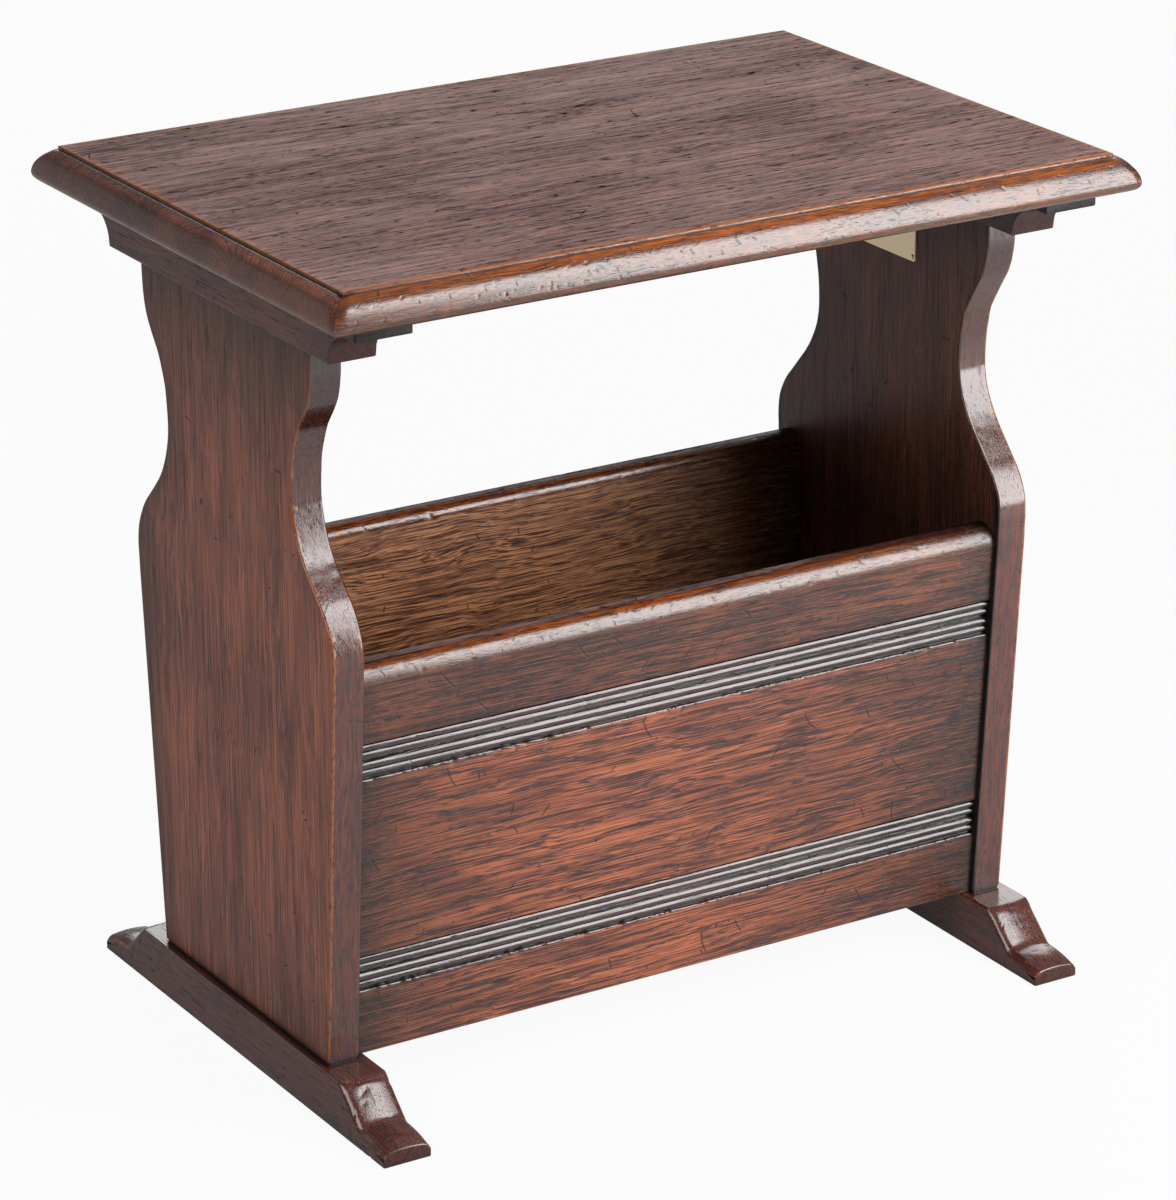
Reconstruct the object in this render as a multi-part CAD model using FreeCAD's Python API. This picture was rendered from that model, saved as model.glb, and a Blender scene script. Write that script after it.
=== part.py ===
import FreeCAD, Part
import math
import os

# Oak magazine table with a rack between its ends, in millimetres.
# +X runs along the table, +Y to its back and +Z up; the origin is on the floor under its middle.

# Whole table
table_height = 483.0
top_length = 497.0
top_depth = 344.0

# Top: two boards, with a quirk and a thumbnail moulding worked round the edge
top_thickness = 20.5
front_board_width = 199.0
moulding_reach = 11.6
quirk_drop = 1.6
nose_drop = 15.1

# End panels: neck, waist and shoulder levels are measured down from the panel's top
end_overhang = 27.0
panel_thickness = 19.0
neck_width = 190.4
waist_width = 141.4
base_width = 191.2
neck_drop = 25.2
waist_start_drop = 61.7
waist_end_drop = 108.2
shoulder_drop = 153.0
neck_radius = 40.0
upper_waist_radius = 65.0
lower_waist_radius = 55.0
shoulder_radius = 42.0
panel_arris_chamfer = 1.0
side_splay_degrees = 4.1

# Bearers, with a hollow worked under each end
bearer_length = 282.0
bearer_width = 28.0
bearer_height = 20.5
bearer_lip = 2.4

# Cleats between the bearers and the top
cleat_length = 314.0
cleat_width = 33.5
cleat_thickness = 8.5

# Sledge feet, with an ogee down to each toe
foot_length = 328.0
foot_width = 29.0
foot_height = 30.5
toe_length = 25.0
toe_height = 12.8
toe_end_height = 9.0
toe_radius = 2.5
ogee_run = 19.5
ogee_crest_radius = 6.0
ogee_hollow_radius = 7.0
foot_arris_radius = 2.2

# Rack boards, which lean out with the splay of the end panels
rack_thickness = 19.0
rack_setback = 3.5
rack_drop = 21.5
rack_edge_share = 0.42
low_band_rise = 49.0
high_band_drop = 53.5

# Reeded bands: pairs of reeds with a deeper groove between the pairs
pairs_per_band = 2
reeds_per_pair = 2
reed_width = 4.35
reed_height = 1.5
reed_sink = 0.5
band_quirk_width = 0.9
middle_groove_width = 1.8
middle_groove_depth = 1.0

# Rack bottom, housed in the two rack boards
bottom_thickness = 10.0
bottom_lift = 12.5
housing_depth = 7.0
housing_clearance = 0.2

# Stub tenons: of the end panels in feet and bearers, and of the rack boards in the end panels
panel_tenon_thickness = 10.0
panel_tenon_share = 0.7
foot_tenon_depth = 18.0
bearer_tenon_depth = 13.0
rack_tenon_thickness = 9.0
rack_tenon_depth = 11.0
rack_tenon_shares = (0.2, 0.8)
tenon_clearance = 0.1
tenon_end_gap = 0.8

# Screws up through bearer and cleat into the top
screw_recess_diameter = 10.0
screw_recess_depth = 7.0
screw_head_diameter = 8.4
screw_head_height = 2.6
screw_shank_diameter = 4.2
screw_bite = 13.0
screw_tip_length = 4.0
screw_clearance = 0.15

# Brass plate and its pins, on the inner face of the right end panel
plate_width = 54.5
plate_height = 26.0
plate_thickness = 1.0
plate_drop = 14.1
pin_inset = 2.7
pin_head_diameter = 2.8
pin_head_height = 0.7
pin_shank_diameter = 1.2
pin_length = 8.0
pin_clearance = 0.08

# Every cut runs this far past the faces that it opens
overrun = 5.0

# An arc takes up at most this share of a straight run beside it
corner_limit_share = 0.49

# An edge that spans less than this lies flat
flat_limit = 0.01

# Levels and places that follow from the sizes above
top_underside = table_height - top_thickness
cleat_underside = top_underside - cleat_thickness
panel_top = cleat_underside - bearer_height
panel_outer = top_length / 2 - end_overhang
panel_inner = panel_outer - panel_thickness
support_x = panel_outer - panel_thickness / 2
bearer_hollow_radius = bearer_height - bearer_lip
splay = math.radians(side_splay_degrees)
shoulder_level = panel_top - shoulder_drop
shoulder_half_width = base_width / 2 + (shoulder_level - foot_height) * math.tan(splay)
rack_base_half = base_width / 2 - rack_setback
rack_edge_radius = rack_edge_share * rack_thickness
rack_top = shoulder_level - rack_drop
rack_board_height = (rack_top - foot_height) / math.cos(splay) - rack_thickness / 2 * math.tan(splay)
pair_width = reeds_per_pair * reed_width
grooves_width = (pairs_per_band - 1) * middle_groove_width
band_height = 2 * band_quirk_width + pairs_per_band * pair_width + grooves_width
bottom_low = foot_height + bottom_lift
bottom_middle = bottom_low + bottom_thickness / 2
seam_y = front_board_width - top_depth / 2

ORIGIN = FreeCAD.Vector(0, 0, 0)
ALONG_X = FreeCAD.Vector(1, 0, 0)
ALONG_Y = FreeCAD.Vector(0, 1, 0)
ALONG_Z = FreeCAD.Vector(0, 0, 1)
SIDES = {"left": -1, "right": 1}


def in_yz(x):
    """Place an outline's (y, z) points in the upright plane at x."""
    return lambda y, z: FreeCAD.Vector(x, y, z)


def in_xz(y):
    """Place an outline's (x, z) points in the upright plane at y."""
    return lambda x, z: FreeCAD.Vector(x, y, z)


def about(start, axis):
    """Place a half section's (radius, length) points in a plane through an axis."""
    side = unit(axis.cross(ALONG_Y))
    return lambda radius, length: start + side * radius + axis * length


def in_rack_board(x):
    """Place a section's (depth, rise) points in the leaning front board, in the upright plane at x."""
    return lambda depth, rise: FreeCAD.Vector(x, *rack_point(depth, rise))


def trace(start, steps, place):
    """Face inside a closed outline: a step with one point is straight, one with two is an arc."""
    first = place(*start)
    here = first
    edges = []
    for step in steps:
        points = [place(*point) for point in step]
        run = Part.LineSegment(here, *points) if len(points) == 1 else Part.Arc(here, *points)
        edges.append(run.toShape())
        here = points[-1]
    edges.append(Part.LineSegment(here, first).toShape())
    return Part.Face(Part.Wire(edges))


def unit(vector):
    """The vector's direction."""
    return vector * (1 / vector.Length)


def corner_step(before, corner, after, radius):
    """Start, middle and end of the arc that rounds a corner, kept within the runs on both sides of it."""
    corner = FreeCAD.Vector(*corner)
    back = FreeCAD.Vector(*before) - corner
    onward = FreeCAD.Vector(*after) - corner
    half_angle = back.getAngle(onward) / 2
    reach = min(radius / math.tan(half_angle), corner_limit_share * min(back.Length, onward.Length))
    radius = reach * math.tan(half_angle)
    middle = corner + unit(unit(back) + unit(onward)) * (radius / math.sin(half_angle) - radius)
    points = (corner + unit(back) * reach, middle, corner + unit(onward) * reach)
    return [(point.x, point.y) for point in points]


def rounded_outline(corners, place):
    """Face inside straight runs between corners (across, up, radius), with arcs at the rounded ones."""
    steps = []
    for index, (across, up, radius) in enumerate(corners):
        if radius == 0:
            steps.append([(across, up)])
            continue
        before = corners[index - 1][:2]
        after = corners[(index + 1) % len(corners)][:2]
        start, middle, end = corner_step(before, (across, up), after, radius)
        steps.append([start])
        steps.append([middle, end])
    return trace(steps[0][0], steps[1:], place)


def both_halves(half):
    """Corners of an outline that is alike on both sides of y = 0, from its +Y half, bottom to top."""
    return half + [(-across, up, radius) for across, up, radius in reversed(half)]


def mirrored(shape, side):
    """The shape as made for the left end, or its mirror image for the right end."""
    return shape if side == "left" else shape.mirror(ORIGIN, ALONG_X)


def bored(shape, bores):
    """The shape with every bore cut out of it."""
    return shape.cut(Part.makeCompound(bores)) if bores else shape


def turned(steps, start, axis):
    """Solid turned from a half section about an axis that starts at a point."""
    return trace((0, 0), steps, about(start, axis)).revolve(start, axis, 360)


def panel_tenon(width, low, depth, gap):
    """Tenon across the left end panel, or with a gap round it the mortise that takes it."""
    length = panel_tenon_share * width + 2 * gap
    thickness = panel_tenon_thickness + 2 * gap
    corner = FreeCAD.Vector(-support_x - thickness / 2, -length / 2, low)
    return Part.makeBox(thickness, length, depth, corner)


def foot_tenon():
    """Tenon under the left end panel."""
    return panel_tenon(base_width, foot_height - foot_tenon_depth, foot_tenon_depth, 0)


def foot_mortise():
    """Mortise in the left foot, a little deeper than its tenon."""
    depth = foot_tenon_depth + tenon_end_gap
    return panel_tenon(base_width, foot_height - depth, depth + overrun, tenon_clearance)


def bearer_tenon():
    """Tenon on top of the left end panel."""
    return panel_tenon(neck_width, panel_top, bearer_tenon_depth, 0)


def bearer_mortise():
    """Mortise in the left bearer, a little deeper than its tenon."""
    depth = bearer_tenon_depth + tenon_end_gap
    return panel_tenon(neck_width, panel_top - overrun, depth + overrun, tenon_clearance)


def rack_point(depth, rise):
    """(y, z) in the leaning front board: depth in from its outer face, rise up from its lower edge."""
    y = -rack_base_half - rise * math.sin(splay) + depth * math.cos(splay)
    z = foot_height + rise * math.cos(splay) + depth * math.sin(splay)
    return y, z


def rack_tenon_bar(length, gap):
    """Bar along X through the tenons of the front board, as long as given and with a gap round it."""
    near = (rack_thickness - rack_tenon_thickness) / 2 - gap
    far = rack_thickness - near
    low, high = (share * rack_board_height for share in rack_tenon_shares)
    outline = [[(far, low - gap)], [(far, high + gap)], [(near, high + gap)]]
    return trace((near, low - gap), outline, in_rack_board(-length / 2)).extrude(ALONG_X * length)


def rack_tenons():
    """Tenons of the front board, as a bar from the tip of one to the tip of the other."""
    return rack_tenon_bar(2 * (panel_inner + rack_tenon_depth), 0)


def rack_mortises():
    """Mortises in the end panels, as bars for the front and the back board."""
    bar = rack_tenon_bar(2 * (panel_inner + rack_tenon_depth + tenon_end_gap), tenon_clearance)
    return [bar, bar.mirror(ORIGIN, ALONG_Y)]


def screw_places():
    """Where the top's screws stand along Y: midway between the panel's neck and the bearer's hollow."""
    bearer_foot_half = bearer_length / 2 - bearer_hollow_radius
    y = (neck_width / 2 + bearer_foot_half) / 2
    return (-y, y)


def screw_reach():
    """How far a screw goes up from its seat in the bearer: through the cleat to its bite in the top."""
    return bearer_height - screw_recess_depth + cleat_thickness + screw_bite


def screw_shape(x, y, head_diameter, head_height, gap):
    """Screw with its head below its seat, or with a gap round its shank the hole that takes it."""
    shank = screw_shank_diameter / 2 + gap
    tip = head_height + screw_reach() + gap
    steps = [
        [(head_diameter / 2, 0)],
        [(head_diameter / 2, head_height)],
        [(shank, head_height)],
        [(shank, tip - screw_tip_length)],
        [(0, tip)],
    ]
    start = FreeCAD.Vector(x, y, panel_top + screw_recess_depth - head_height)
    return turned(steps, start, ALONG_Z)


def screw(x, y):
    """Screw, head down in its recess."""
    return screw_shape(x, y, screw_head_diameter, screw_head_height, 0)


def screw_bore(x, y):
    """Hole for a screw, with a recess that is open at the bearer's underside."""
    return screw_shape(x, y, screw_recess_diameter, screw_recess_depth + overrun, screw_clearance)


def screw_bores(side):
    """Holes for the two screws of one end."""
    return [screw_bore(SIDES[side] * support_x, y) for y in screw_places()]


def moulded_section(half_width, place):
    """Section of the top: field, quirk, thumbnail curve out to the nose and a quarter round below."""
    field = half_width - moulding_reach
    fall = nose_drop - quirk_drop
    under = top_thickness - nose_drop
    cut_back = under * (1 - math.sqrt(1 / 2))
    nose_level = table_height - nose_drop
    curve_radius = (moulding_reach ** 2 + fall ** 2) / (2 * moulding_reach)
    half_turn = math.atan2(fall, curve_radius - moulding_reach) / 2
    curve_cut = curve_radius * (1 - math.cos(half_turn))
    field_edge = (field, table_height)
    quirk_foot = (field, table_height - quirk_drop)
    on_curve = (half_width - curve_cut, nose_level + curve_radius * math.sin(half_turn))
    nose = (half_width, nose_level)
    on_round = (half_width - cut_back, top_underside + cut_back)
    under_edge = (half_width - under, top_underside)
    right = [[field_edge], [quirk_foot], [on_curve, nose], [on_round, under_edge]]
    left = [[other_side(under_edge)]]
    left.append([other_side(on_round), other_side(nose)])
    left.append([other_side(on_curve), other_side(quirk_foot)])
    return trace(other_side(field_edge), right + left, place)


def other_side(point):
    """A section's point on the other side of its middle line."""
    across, up = point
    return (-across, up)


def top_slab():
    """Whole top: the moulding of the ends and of the long sides meet in mitres at the corners."""
    end_start = -top_depth / 2 - overrun
    side_start = -top_length / 2 - overrun
    across = moulded_section(top_length / 2, in_xz(end_start)).extrude(ALONG_Y * -2 * end_start)
    along = moulded_section(top_depth / 2, in_yz(side_start)).extrude(ALONG_X * -2 * side_start)
    return across.common(along)


def top_boards():
    """Front and rear board of the top, parted at the glue line, with the holes of the screws."""
    slab = bored(top_slab(), screw_bores("left") + screw_bores("right"))
    length = top_length + 2 * overrun
    height = top_thickness + 2 * overrun
    start = FreeCAD.Vector(-length / 2, seam_y, top_underside - overrun)
    behind = Part.makeBox(length, top_depth, height, start)
    return slab.cut(behind), slab.common(behind)


def end_panel(side):
    """Shaped end panel with eased arrises, tenons at foot and top, and mortises for the rack."""
    half = [
        (base_width / 2, foot_height, 0),
        (shoulder_half_width, shoulder_level, shoulder_radius),
        (waist_width / 2, panel_top - waist_end_drop, lower_waist_radius),
        (waist_width / 2, panel_top - waist_start_drop, upper_waist_radius),
        (neck_width / 2, panel_top - neck_drop, neck_radius),
        (neck_width / 2, panel_top, 0),
    ]
    blank = rounded_outline(both_halves(half), in_yz(-panel_outer)).extrude(ALONG_X * panel_thickness)
    arrises = [edge for edge in blank.Edges if in_side_face(edge) and climbs(edge)]
    eased = blank.makeChamfer(panel_arris_chamfer, arrises)
    panel = mirrored(eased.fuse([foot_tenon(), bearer_tenon()]), side)
    pins = [pin_bore(*place) for place in pin_places()] if side == "right" else []
    return bored(panel, rack_mortises() + pins)


def in_side_face(edge):
    """True for an edge that lies in an upright face across X."""
    return edge.BoundBox.XLength < flat_limit


def climbs(edge):
    """True for an edge that isn't level."""
    return edge.BoundBox.ZLength > flat_limit


def bearer(side):
    """Bearer with a hollow worked under each end, below a small lip."""
    half = bearer_length / 2
    foot_half = half - bearer_hollow_radius
    hollow_top = panel_top + bearer_hollow_radius
    bend = bearer_hollow_radius * (1 - math.sqrt(1 / 2))
    steps = [
        [(-half, hollow_top)],
        [(-foot_half - bend, hollow_top - bend), (-foot_half, panel_top)],
        [(foot_half, panel_top)],
        [(foot_half + bend, hollow_top - bend), (half, hollow_top)],
        [(half, cleat_underside)],
    ]
    section = trace((-half, cleat_underside), steps, in_yz(-support_x - bearer_width / 2))
    blank = section.extrude(ALONG_X * bearer_width).cut(bearer_mortise())
    return bored(mirrored(blank, side), screw_bores(side))


def cleat(side):
    """Flat cleat between a bearer and the top."""
    corner = FreeCAD.Vector(-support_x - cleat_width / 2, -cleat_length / 2, cleat_underside)
    blank = mirrored(Part.makeBox(cleat_width, cleat_length, cleat_thickness, corner), side)
    return bored(blank, screw_bores(side))


def foot(side):
    """Sledge foot: flat in the middle, then an ogee down to a low toe at each end, with rounded arrises."""
    half_length = foot_length / 2
    ogee_foot = half_length - toe_length
    half = [
        (half_length, 0, 0),
        (half_length, toe_end_height, toe_radius),
        (ogee_foot, toe_height, ogee_hollow_radius),
        (ogee_foot - ogee_run, foot_height, ogee_crest_radius),
    ]
    section = rounded_outline(both_halves(half), in_yz(-support_x - foot_width / 2))
    blank = section.extrude(ALONG_X * foot_width)
    arrises = [edge for edge in blank.Edges if in_side_face(edge) and off_floor(edge)]
    shaped = blank.makeFillet(foot_arris_radius, arrises)
    return mirrored(shaped.cut(foot_mortise()), side)


def off_floor(edge):
    """True for an edge that doesn't lie on the floor."""
    return edge.BoundBox.ZMax > flat_limit


def band_steps(middle):
    """Up one reeded band: a quirk, pairs of reeds with a deeper groove between them, and a quirk."""
    floor = reed_sink + reed_height
    rise = middle - band_height / 2
    steps = [[(0, rise)], [(floor, rise)]]
    rise += band_quirk_width
    steps.append([(floor, rise)])
    for pair in range(pairs_per_band):
        if pair > 0:
            steps.append([(floor + middle_groove_depth, rise + middle_groove_width / 2)])
            rise += middle_groove_width
            steps.append([(floor, rise)])
        for _ in range(reeds_per_pair):
            steps.append([(reed_sink, rise + reed_width / 2), (floor, rise + reed_width)])
            rise += reed_width
    rise += band_quirk_width
    return steps + [[(floor, rise)], [(0, rise)]]


def rack_section(place):
    """Section of a rack board: outer face with two reeded bands, rounded top edge and plain inner face."""
    bend = rack_edge_radius * (1 - math.sqrt(1 / 2))
    round_start = rack_board_height - rack_edge_radius
    steps = band_steps(low_band_rise) + band_steps(rack_board_height - high_band_drop)
    steps += [
        [(0, round_start)],
        [(bend, rack_board_height - bend), (rack_edge_radius, rack_board_height)],
        [(rack_thickness - rack_edge_radius, rack_board_height)],
        [(rack_thickness - bend, rack_board_height - bend), (rack_thickness, round_start)],
        [(rack_thickness, 0)],
    ]
    return trace((0, 0), steps, place)


def housing_half_width():
    """Half the distance between the floors of the two grooves that hold the rack's bottom."""
    outer_face = rack_base_half + (bottom_middle - foot_height) * math.tan(splay)
    return outer_face - rack_thickness / math.cos(splay) + housing_depth


def rack_board(face):
    """Rack board with a groove for the bottom and end tenons; face is 1 at the front, -1 at the back."""
    blank = rack_section(in_rack_board(-panel_inner)).extrude(ALONG_X * 2 * panel_inner)
    length = 2 * (panel_inner + overrun)
    height = bottom_thickness + 2 * housing_clearance
    start = FreeCAD.Vector(-length / 2, -housing_half_width(), bottom_low - housing_clearance)
    grooved = blank.fuse(rack_tenons()).cut(Part.makeBox(length, 2 * housing_half_width(), height, start))
    return grooved if face == 1 else grooved.mirror(ORIGIN, ALONG_Y)


def rack_bottom():
    """Bottom of the rack, a plain board between the end panels with its long edges in the grooves."""
    half_width = housing_half_width() - housing_clearance
    corner = FreeCAD.Vector(-panel_inner, -half_width, bottom_low)
    return Part.makeBox(2 * panel_inner, 2 * half_width, bottom_thickness, corner)


def plate_low():
    """Level of the plate's lower edge."""
    return panel_top - plate_drop - plate_height


def pin_places():
    """(y, z) of the four pins, one in each corner of the plate."""
    across = plate_width / 2 - pin_inset
    levels = (plate_low() + pin_inset, plate_low() + plate_height - pin_inset)
    return [(y, z) for y in (-across, across) for z in levels]


def plate_face_x():
    """The plate's outer face, which stands off the inner face of the right end panel."""
    return panel_inner - plate_thickness


def pin(y, z):
    """Headed pin through the plate into the end panel."""
    head = pin_head_diameter / 2
    shank = pin_shank_diameter / 2
    steps = [
        [(head, 0)],
        [(head, pin_head_height)],
        [(shank, pin_head_height)],
        [(shank, pin_head_height + pin_length)],
        [(0, pin_head_height + pin_length)],
    ]
    return turned(steps, FreeCAD.Vector(plate_face_x() - pin_head_height, y, z), ALONG_X)


def pin_bore(y, z):
    """Hole for a pin in the plate and the panel."""
    radius = pin_shank_diameter / 2 + pin_clearance
    start = FreeCAD.Vector(plate_face_x() - overrun, y, z)
    return Part.makeCylinder(radius, pin_length + pin_clearance + overrun, start, ALONG_X)


def brass_plate():
    """Plain plate with a hole in each corner."""
    corner = FreeCAD.Vector(plate_face_x(), -plate_width / 2, plate_low())
    blank = Part.makeBox(plate_thickness, plate_width, plate_height, corner)
    return bored(blank, [pin_bore(*place) for place in pin_places()])


def group(shapes):
    """Separate solids of one kind, kept together."""
    return Part.makeCompound(shapes)


def write(name, shape):
    """Write one sub-part."""
    shape.exportStep(os.path.join("parts", name + ".step"))


def write_support(side):
    """Write one end of the table: foot, panel, bearer, cleat and the screws of the top."""
    write(side + "_foot", foot(side))
    write(side + "_end_panel", end_panel(side))
    write(side + "_bearer", bearer(side))
    write(side + "_cleat", cleat(side))
    write(side + "_top_screws", group([screw(SIDES[side] * support_x, y) for y in screw_places()]))


def write_rack():
    """Write the rack between the ends."""
    for name, face in (("front", 1), ("back", -1)):
        write("rack_" + name + "_panel", rack_board(face))
    write("rack_bottom", rack_bottom())


def write_top():
    """Write the two boards of the top."""
    front, rear = top_boards()
    write("top_front_board", front)
    write("top_rear_board", rear)


def write_plate():
    """Write the brass plate and its pins."""
    write("brass_plate", brass_plate())
    write("plate_pins", group([pin(*place) for place in pin_places()]))


os.makedirs("parts", exist_ok=True)
for end in SIDES:
    write_support(end)
write_rack()
write_top()
write_plate()
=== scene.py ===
"""Looks of a small oak magazine table: a moulded top on two shaped ends with a reeded rack between them."""

import math

import bpy
import numpy as np
from bpy.props import FloatProperty, FloatVectorProperty, IntProperty, PointerProperty
from bpy.types import Operator, Panel, PropertyGroup
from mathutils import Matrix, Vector


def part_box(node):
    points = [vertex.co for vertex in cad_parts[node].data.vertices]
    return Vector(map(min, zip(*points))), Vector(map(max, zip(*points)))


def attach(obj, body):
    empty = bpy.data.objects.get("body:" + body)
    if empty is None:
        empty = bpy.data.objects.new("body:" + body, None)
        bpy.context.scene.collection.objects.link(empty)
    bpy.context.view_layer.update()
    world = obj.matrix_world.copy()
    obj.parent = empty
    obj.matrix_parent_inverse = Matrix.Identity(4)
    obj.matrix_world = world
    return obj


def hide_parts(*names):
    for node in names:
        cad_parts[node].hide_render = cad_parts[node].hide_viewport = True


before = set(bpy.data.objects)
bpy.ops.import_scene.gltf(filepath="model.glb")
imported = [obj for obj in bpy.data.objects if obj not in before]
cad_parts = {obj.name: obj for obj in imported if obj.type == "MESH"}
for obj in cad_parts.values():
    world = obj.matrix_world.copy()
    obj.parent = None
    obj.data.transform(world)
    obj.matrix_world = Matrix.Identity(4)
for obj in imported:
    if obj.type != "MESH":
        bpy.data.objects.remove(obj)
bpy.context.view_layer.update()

bl_info = {
    "name": "Magazine Table",
    "version": (1, 0, 0),
    "blender": (4, 5, 0),
    "location": "3D View > Sidebar > Magazine Table",
    "description": "Builds the dressed pieces of an oak magazine table on its CAD frame",
    "category": "Object",
}

MM = 0.001
QUARTER = math.pi / 2.0

# Which way the pieces of a pair face: along X for the ends, and along Y for the rack and the top
SIDES = {"left": -1.0, "right": 1.0}
RACK_FACES = {"front": -1.0, "back": 1.0}
TOP_BOARDS = {"top_front_board": -1.0, "top_rear_board": 1.0}

# Added to the table's seed, so that each group of pieces has random marks of its own
SEEDS = {"top": 0, "cleat": 20, "bearer": 30, "panel": 40, "foot": 50, "rack": 60, "bottom": 70}

# Where each piece lay in its log, in millimetres along the pith and, in two directions, away from it
LOGS = {
    "top_front_board": np.array((40.0, 35.0, -415.0)),
    "top_rear_board": np.array((-310.0, -70.0, -405.0)),
    "cleat": np.array((70.0, 260.0, -440.0)),
    "bearer": np.array((-90.0, 240.0, -420.0)),
    "panel": np.array((-60.0, 22.0, 290.0)),
    "foot": np.array((15.0, 255.0, 60.0)),
    "rack_front_panel": np.array((-170.0, -120.0, 45.0)),
    "rack_back_panel": np.array((230.0, -120.0, 45.0)),
    "bottom": np.array((0.0, 30.0, 20.0)),
}

# Small sizes of joints, arrises and tool marks, and the least angle of a sharp edge
BEARER_DEPTH = 20.5 * MM
JOINT_GAP = 1.2 * MM
JOINT_DRAW = 0.7 * MM
FACET_LEAD = 30.0 * MM
FACET_PITCH = 9.0 * MM
FACET_CUT = 0.8 * MM
FOOT_SOLE_ARRIS = 0.6 * MM
BOARD_ARRIS = 0.6 * MM
BAND_WALL_SLOPE = 0.12 * MM
BOTTOM_ARRIS = 0.5 * MM
BOTTOM_EASE = 0.4 * MM
RUBBED_REACH = 1.2 * MM
SHARP_EDGE = math.radians(38.0)

# Rows of the top's flat field counted in from the rim, its flat underside, and the nose's row in the edge
FIELD_STEPS = np.array((60.0, 26.0, 11.0, 5.0, 2.0, 0.8)) * MM
UNDERSIDE_FLAT = 20.0 * MM
NOSE_ROW = 24

# Zones of a rack board, in the order of its finishes
FACE, BAND, CREST, INSIDE, DULL_CREST = range(5)

# Plain face left between a rack board's shaped parts and its next row of points
BAND_MARGIN = 4.0 * MM
ROLL_MARGIN = 1.0 * MM

# Stretch of the rack that is dented, in millimetres along it
RACK_REACH = (-200.0, 200.0)

# Rows of points along the longer pieces
TOP_END_ROWS = 150
TOP_LONG_ROWS = 700
PANEL_ROWS = 380
RACK_ROWS = 420

# Soft lamps: place, aim, and width by height, in metres; their powers are stage settings
TABLE_MIDDLE = (0.0, 0.0, 0.25)
LAMPS = {
    "key": ((0.75, -1.05, 1.0), (0.0, 0.0, 0.66), (0.75, 1.84)),
    "fill": ((-1.9, -0.6, 1.3), TABLE_MIDDLE, (1.2, 1.2)),
    "back": ((1.35, 2.1, 1.25), TABLE_MIDDLE, (1.7, 1.3)),
    "rear": ((-1.6, 2.2, 0.9), TABLE_MIDDLE, (1.5, 1.4)),
}

# Half width of the floor in metres, its points along a side, and the camera's sensor in millimetres
FLOOR_REACH = 8.0
FLOOR_POINTS = 9
SENSOR_WIDTH = 36.0
WHITE = (1.0, 1.0, 1.0, 1.0)

# Tones of the oak: lighter wood, darker wood, and where they are seen
TONES = {
    "top": ((142, 78, 56), (54, 30, 26), "the top"),
    "edge": ((196, 102, 30), (62, 28, 16), "the moulded edge"),
    "shaped": ((112, 54, 36), (48, 25, 22), "the panels' shaped edges"),
    "side": ((180, 106, 80), (52, 27, 24), "the end panels"),
    "rack": ((212, 120, 80), (62, 31, 31), "the rack's face"),
    "inside": ((246, 170, 116), (92, 48, 30), "the rack's inside"),
    "foot": ((104, 56, 42), (42, 24, 22), "the feet and rails"),
    "band": ((92, 50, 42), (40, 24, 22), "the reeded bands"),
}

# Oak finishes: the pair of tones that each one takes, and how it differs from plain oak
OAK_FINISHES = {
    "oak_top": ("top", dict(
        ring=5.0, fibre=(0.013, 1.15), roughness=0.4, specular=0.0, coat=0.23, scratches=0.05, sway=9.0,
        broad_gain=0.75, fine_gain=3.8, pores=1.0, streaks=0.5, wander=4.0, pits=0.06, dash=(0.13, 0.8))),
    "oak_edge": ("edge", dict(
        ring=5.0, fibre=(0.05, 1.5), roughness=0.2, specular=0.5, ior=1.75, scratches=0.05, pores=1.0,
        blush=0.1, relief=0.6, pits=0.45, dulling=0.1, dash=(0.18, 1.6))),
    "oak_end_grain": ("side", dict(
        ring=2.4, roughness=0.28, specular=0.45, scratches=0.0, streaks=0.85, sway=2.0, broad_gain=0.9,
        fine_gain=1.2, patch_gain=1.6, pores=0.4, wander=1.0, relief=0.4)),
    "oak_end": ("side", dict(
        ring=9.0, fibre=(0.008, 2.0), roughness=0.36, specular=0.25, scratches=0.06, streaks=0.3, sway=5.0,
        broad_gain=0.7, fine_gain=3.4, patch_gain=1.2, pores=0.6, pits=0.03, dash=(0.035, 2.2))),
    "oak_shaped": ("shaped", dict(
        ring=6.0, roughness=0.18, specular=0.5, ior=1.75, scratches=0.1, relief=0.35, dulling=0.2)),
    "oak_rack": ("rack", dict(
        ring=5.0, taper=0.05, fibre=(0.011, 1.5), specular=0.6, roughness=0.36, scratches=0.28, streaks=0.9,
        early_share=0.65, sway=7.0, broad_gain=1.9, fine_gain=4.8, specks=0.3)),
    "oak_inside": ("inside", dict(
        ring=4.0, fibre=(0.018, 1.3), roughness=0.42, specular=0.5, scratches=0.03, sway=10.0,
        broad_gain=1.1, fine_gain=5.0, blush=0.1, wander=5.0, streaks=0.5, dash=(0.1, 1.2))),
    "oak_band": ("band", dict(
        ring=6.0, roughness=0.13, specular=0.5, ior=1.75, scratches=0.05, relief=0.6)),
    "oak_foot": ("foot", dict(ring=7.0, roughness=0.36, specular=0.35, scratches=0.12, fine_gain=2.6)),
}

# Metal finishes: bright colour, dull colour and roughness
METAL_FINISHES = {"brass": ("brass", "tarnish", 0.34), "steel": ("steel", "rust", 0.42)}


def length(name, millimetres, description):
    """A length property, written in millimetres and kept in metres."""
    return FloatProperty(name=name, description=description, default=millimetres * MM, min=0.0,
                         precision=4, unit="LENGTH", subtype="DISTANCE")


def amount(name, default, description, highest=1.0):
    """A plain number property without a unit."""
    return FloatProperty(name=name, description=description, default=default, min=0.0, max=highest)


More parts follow.
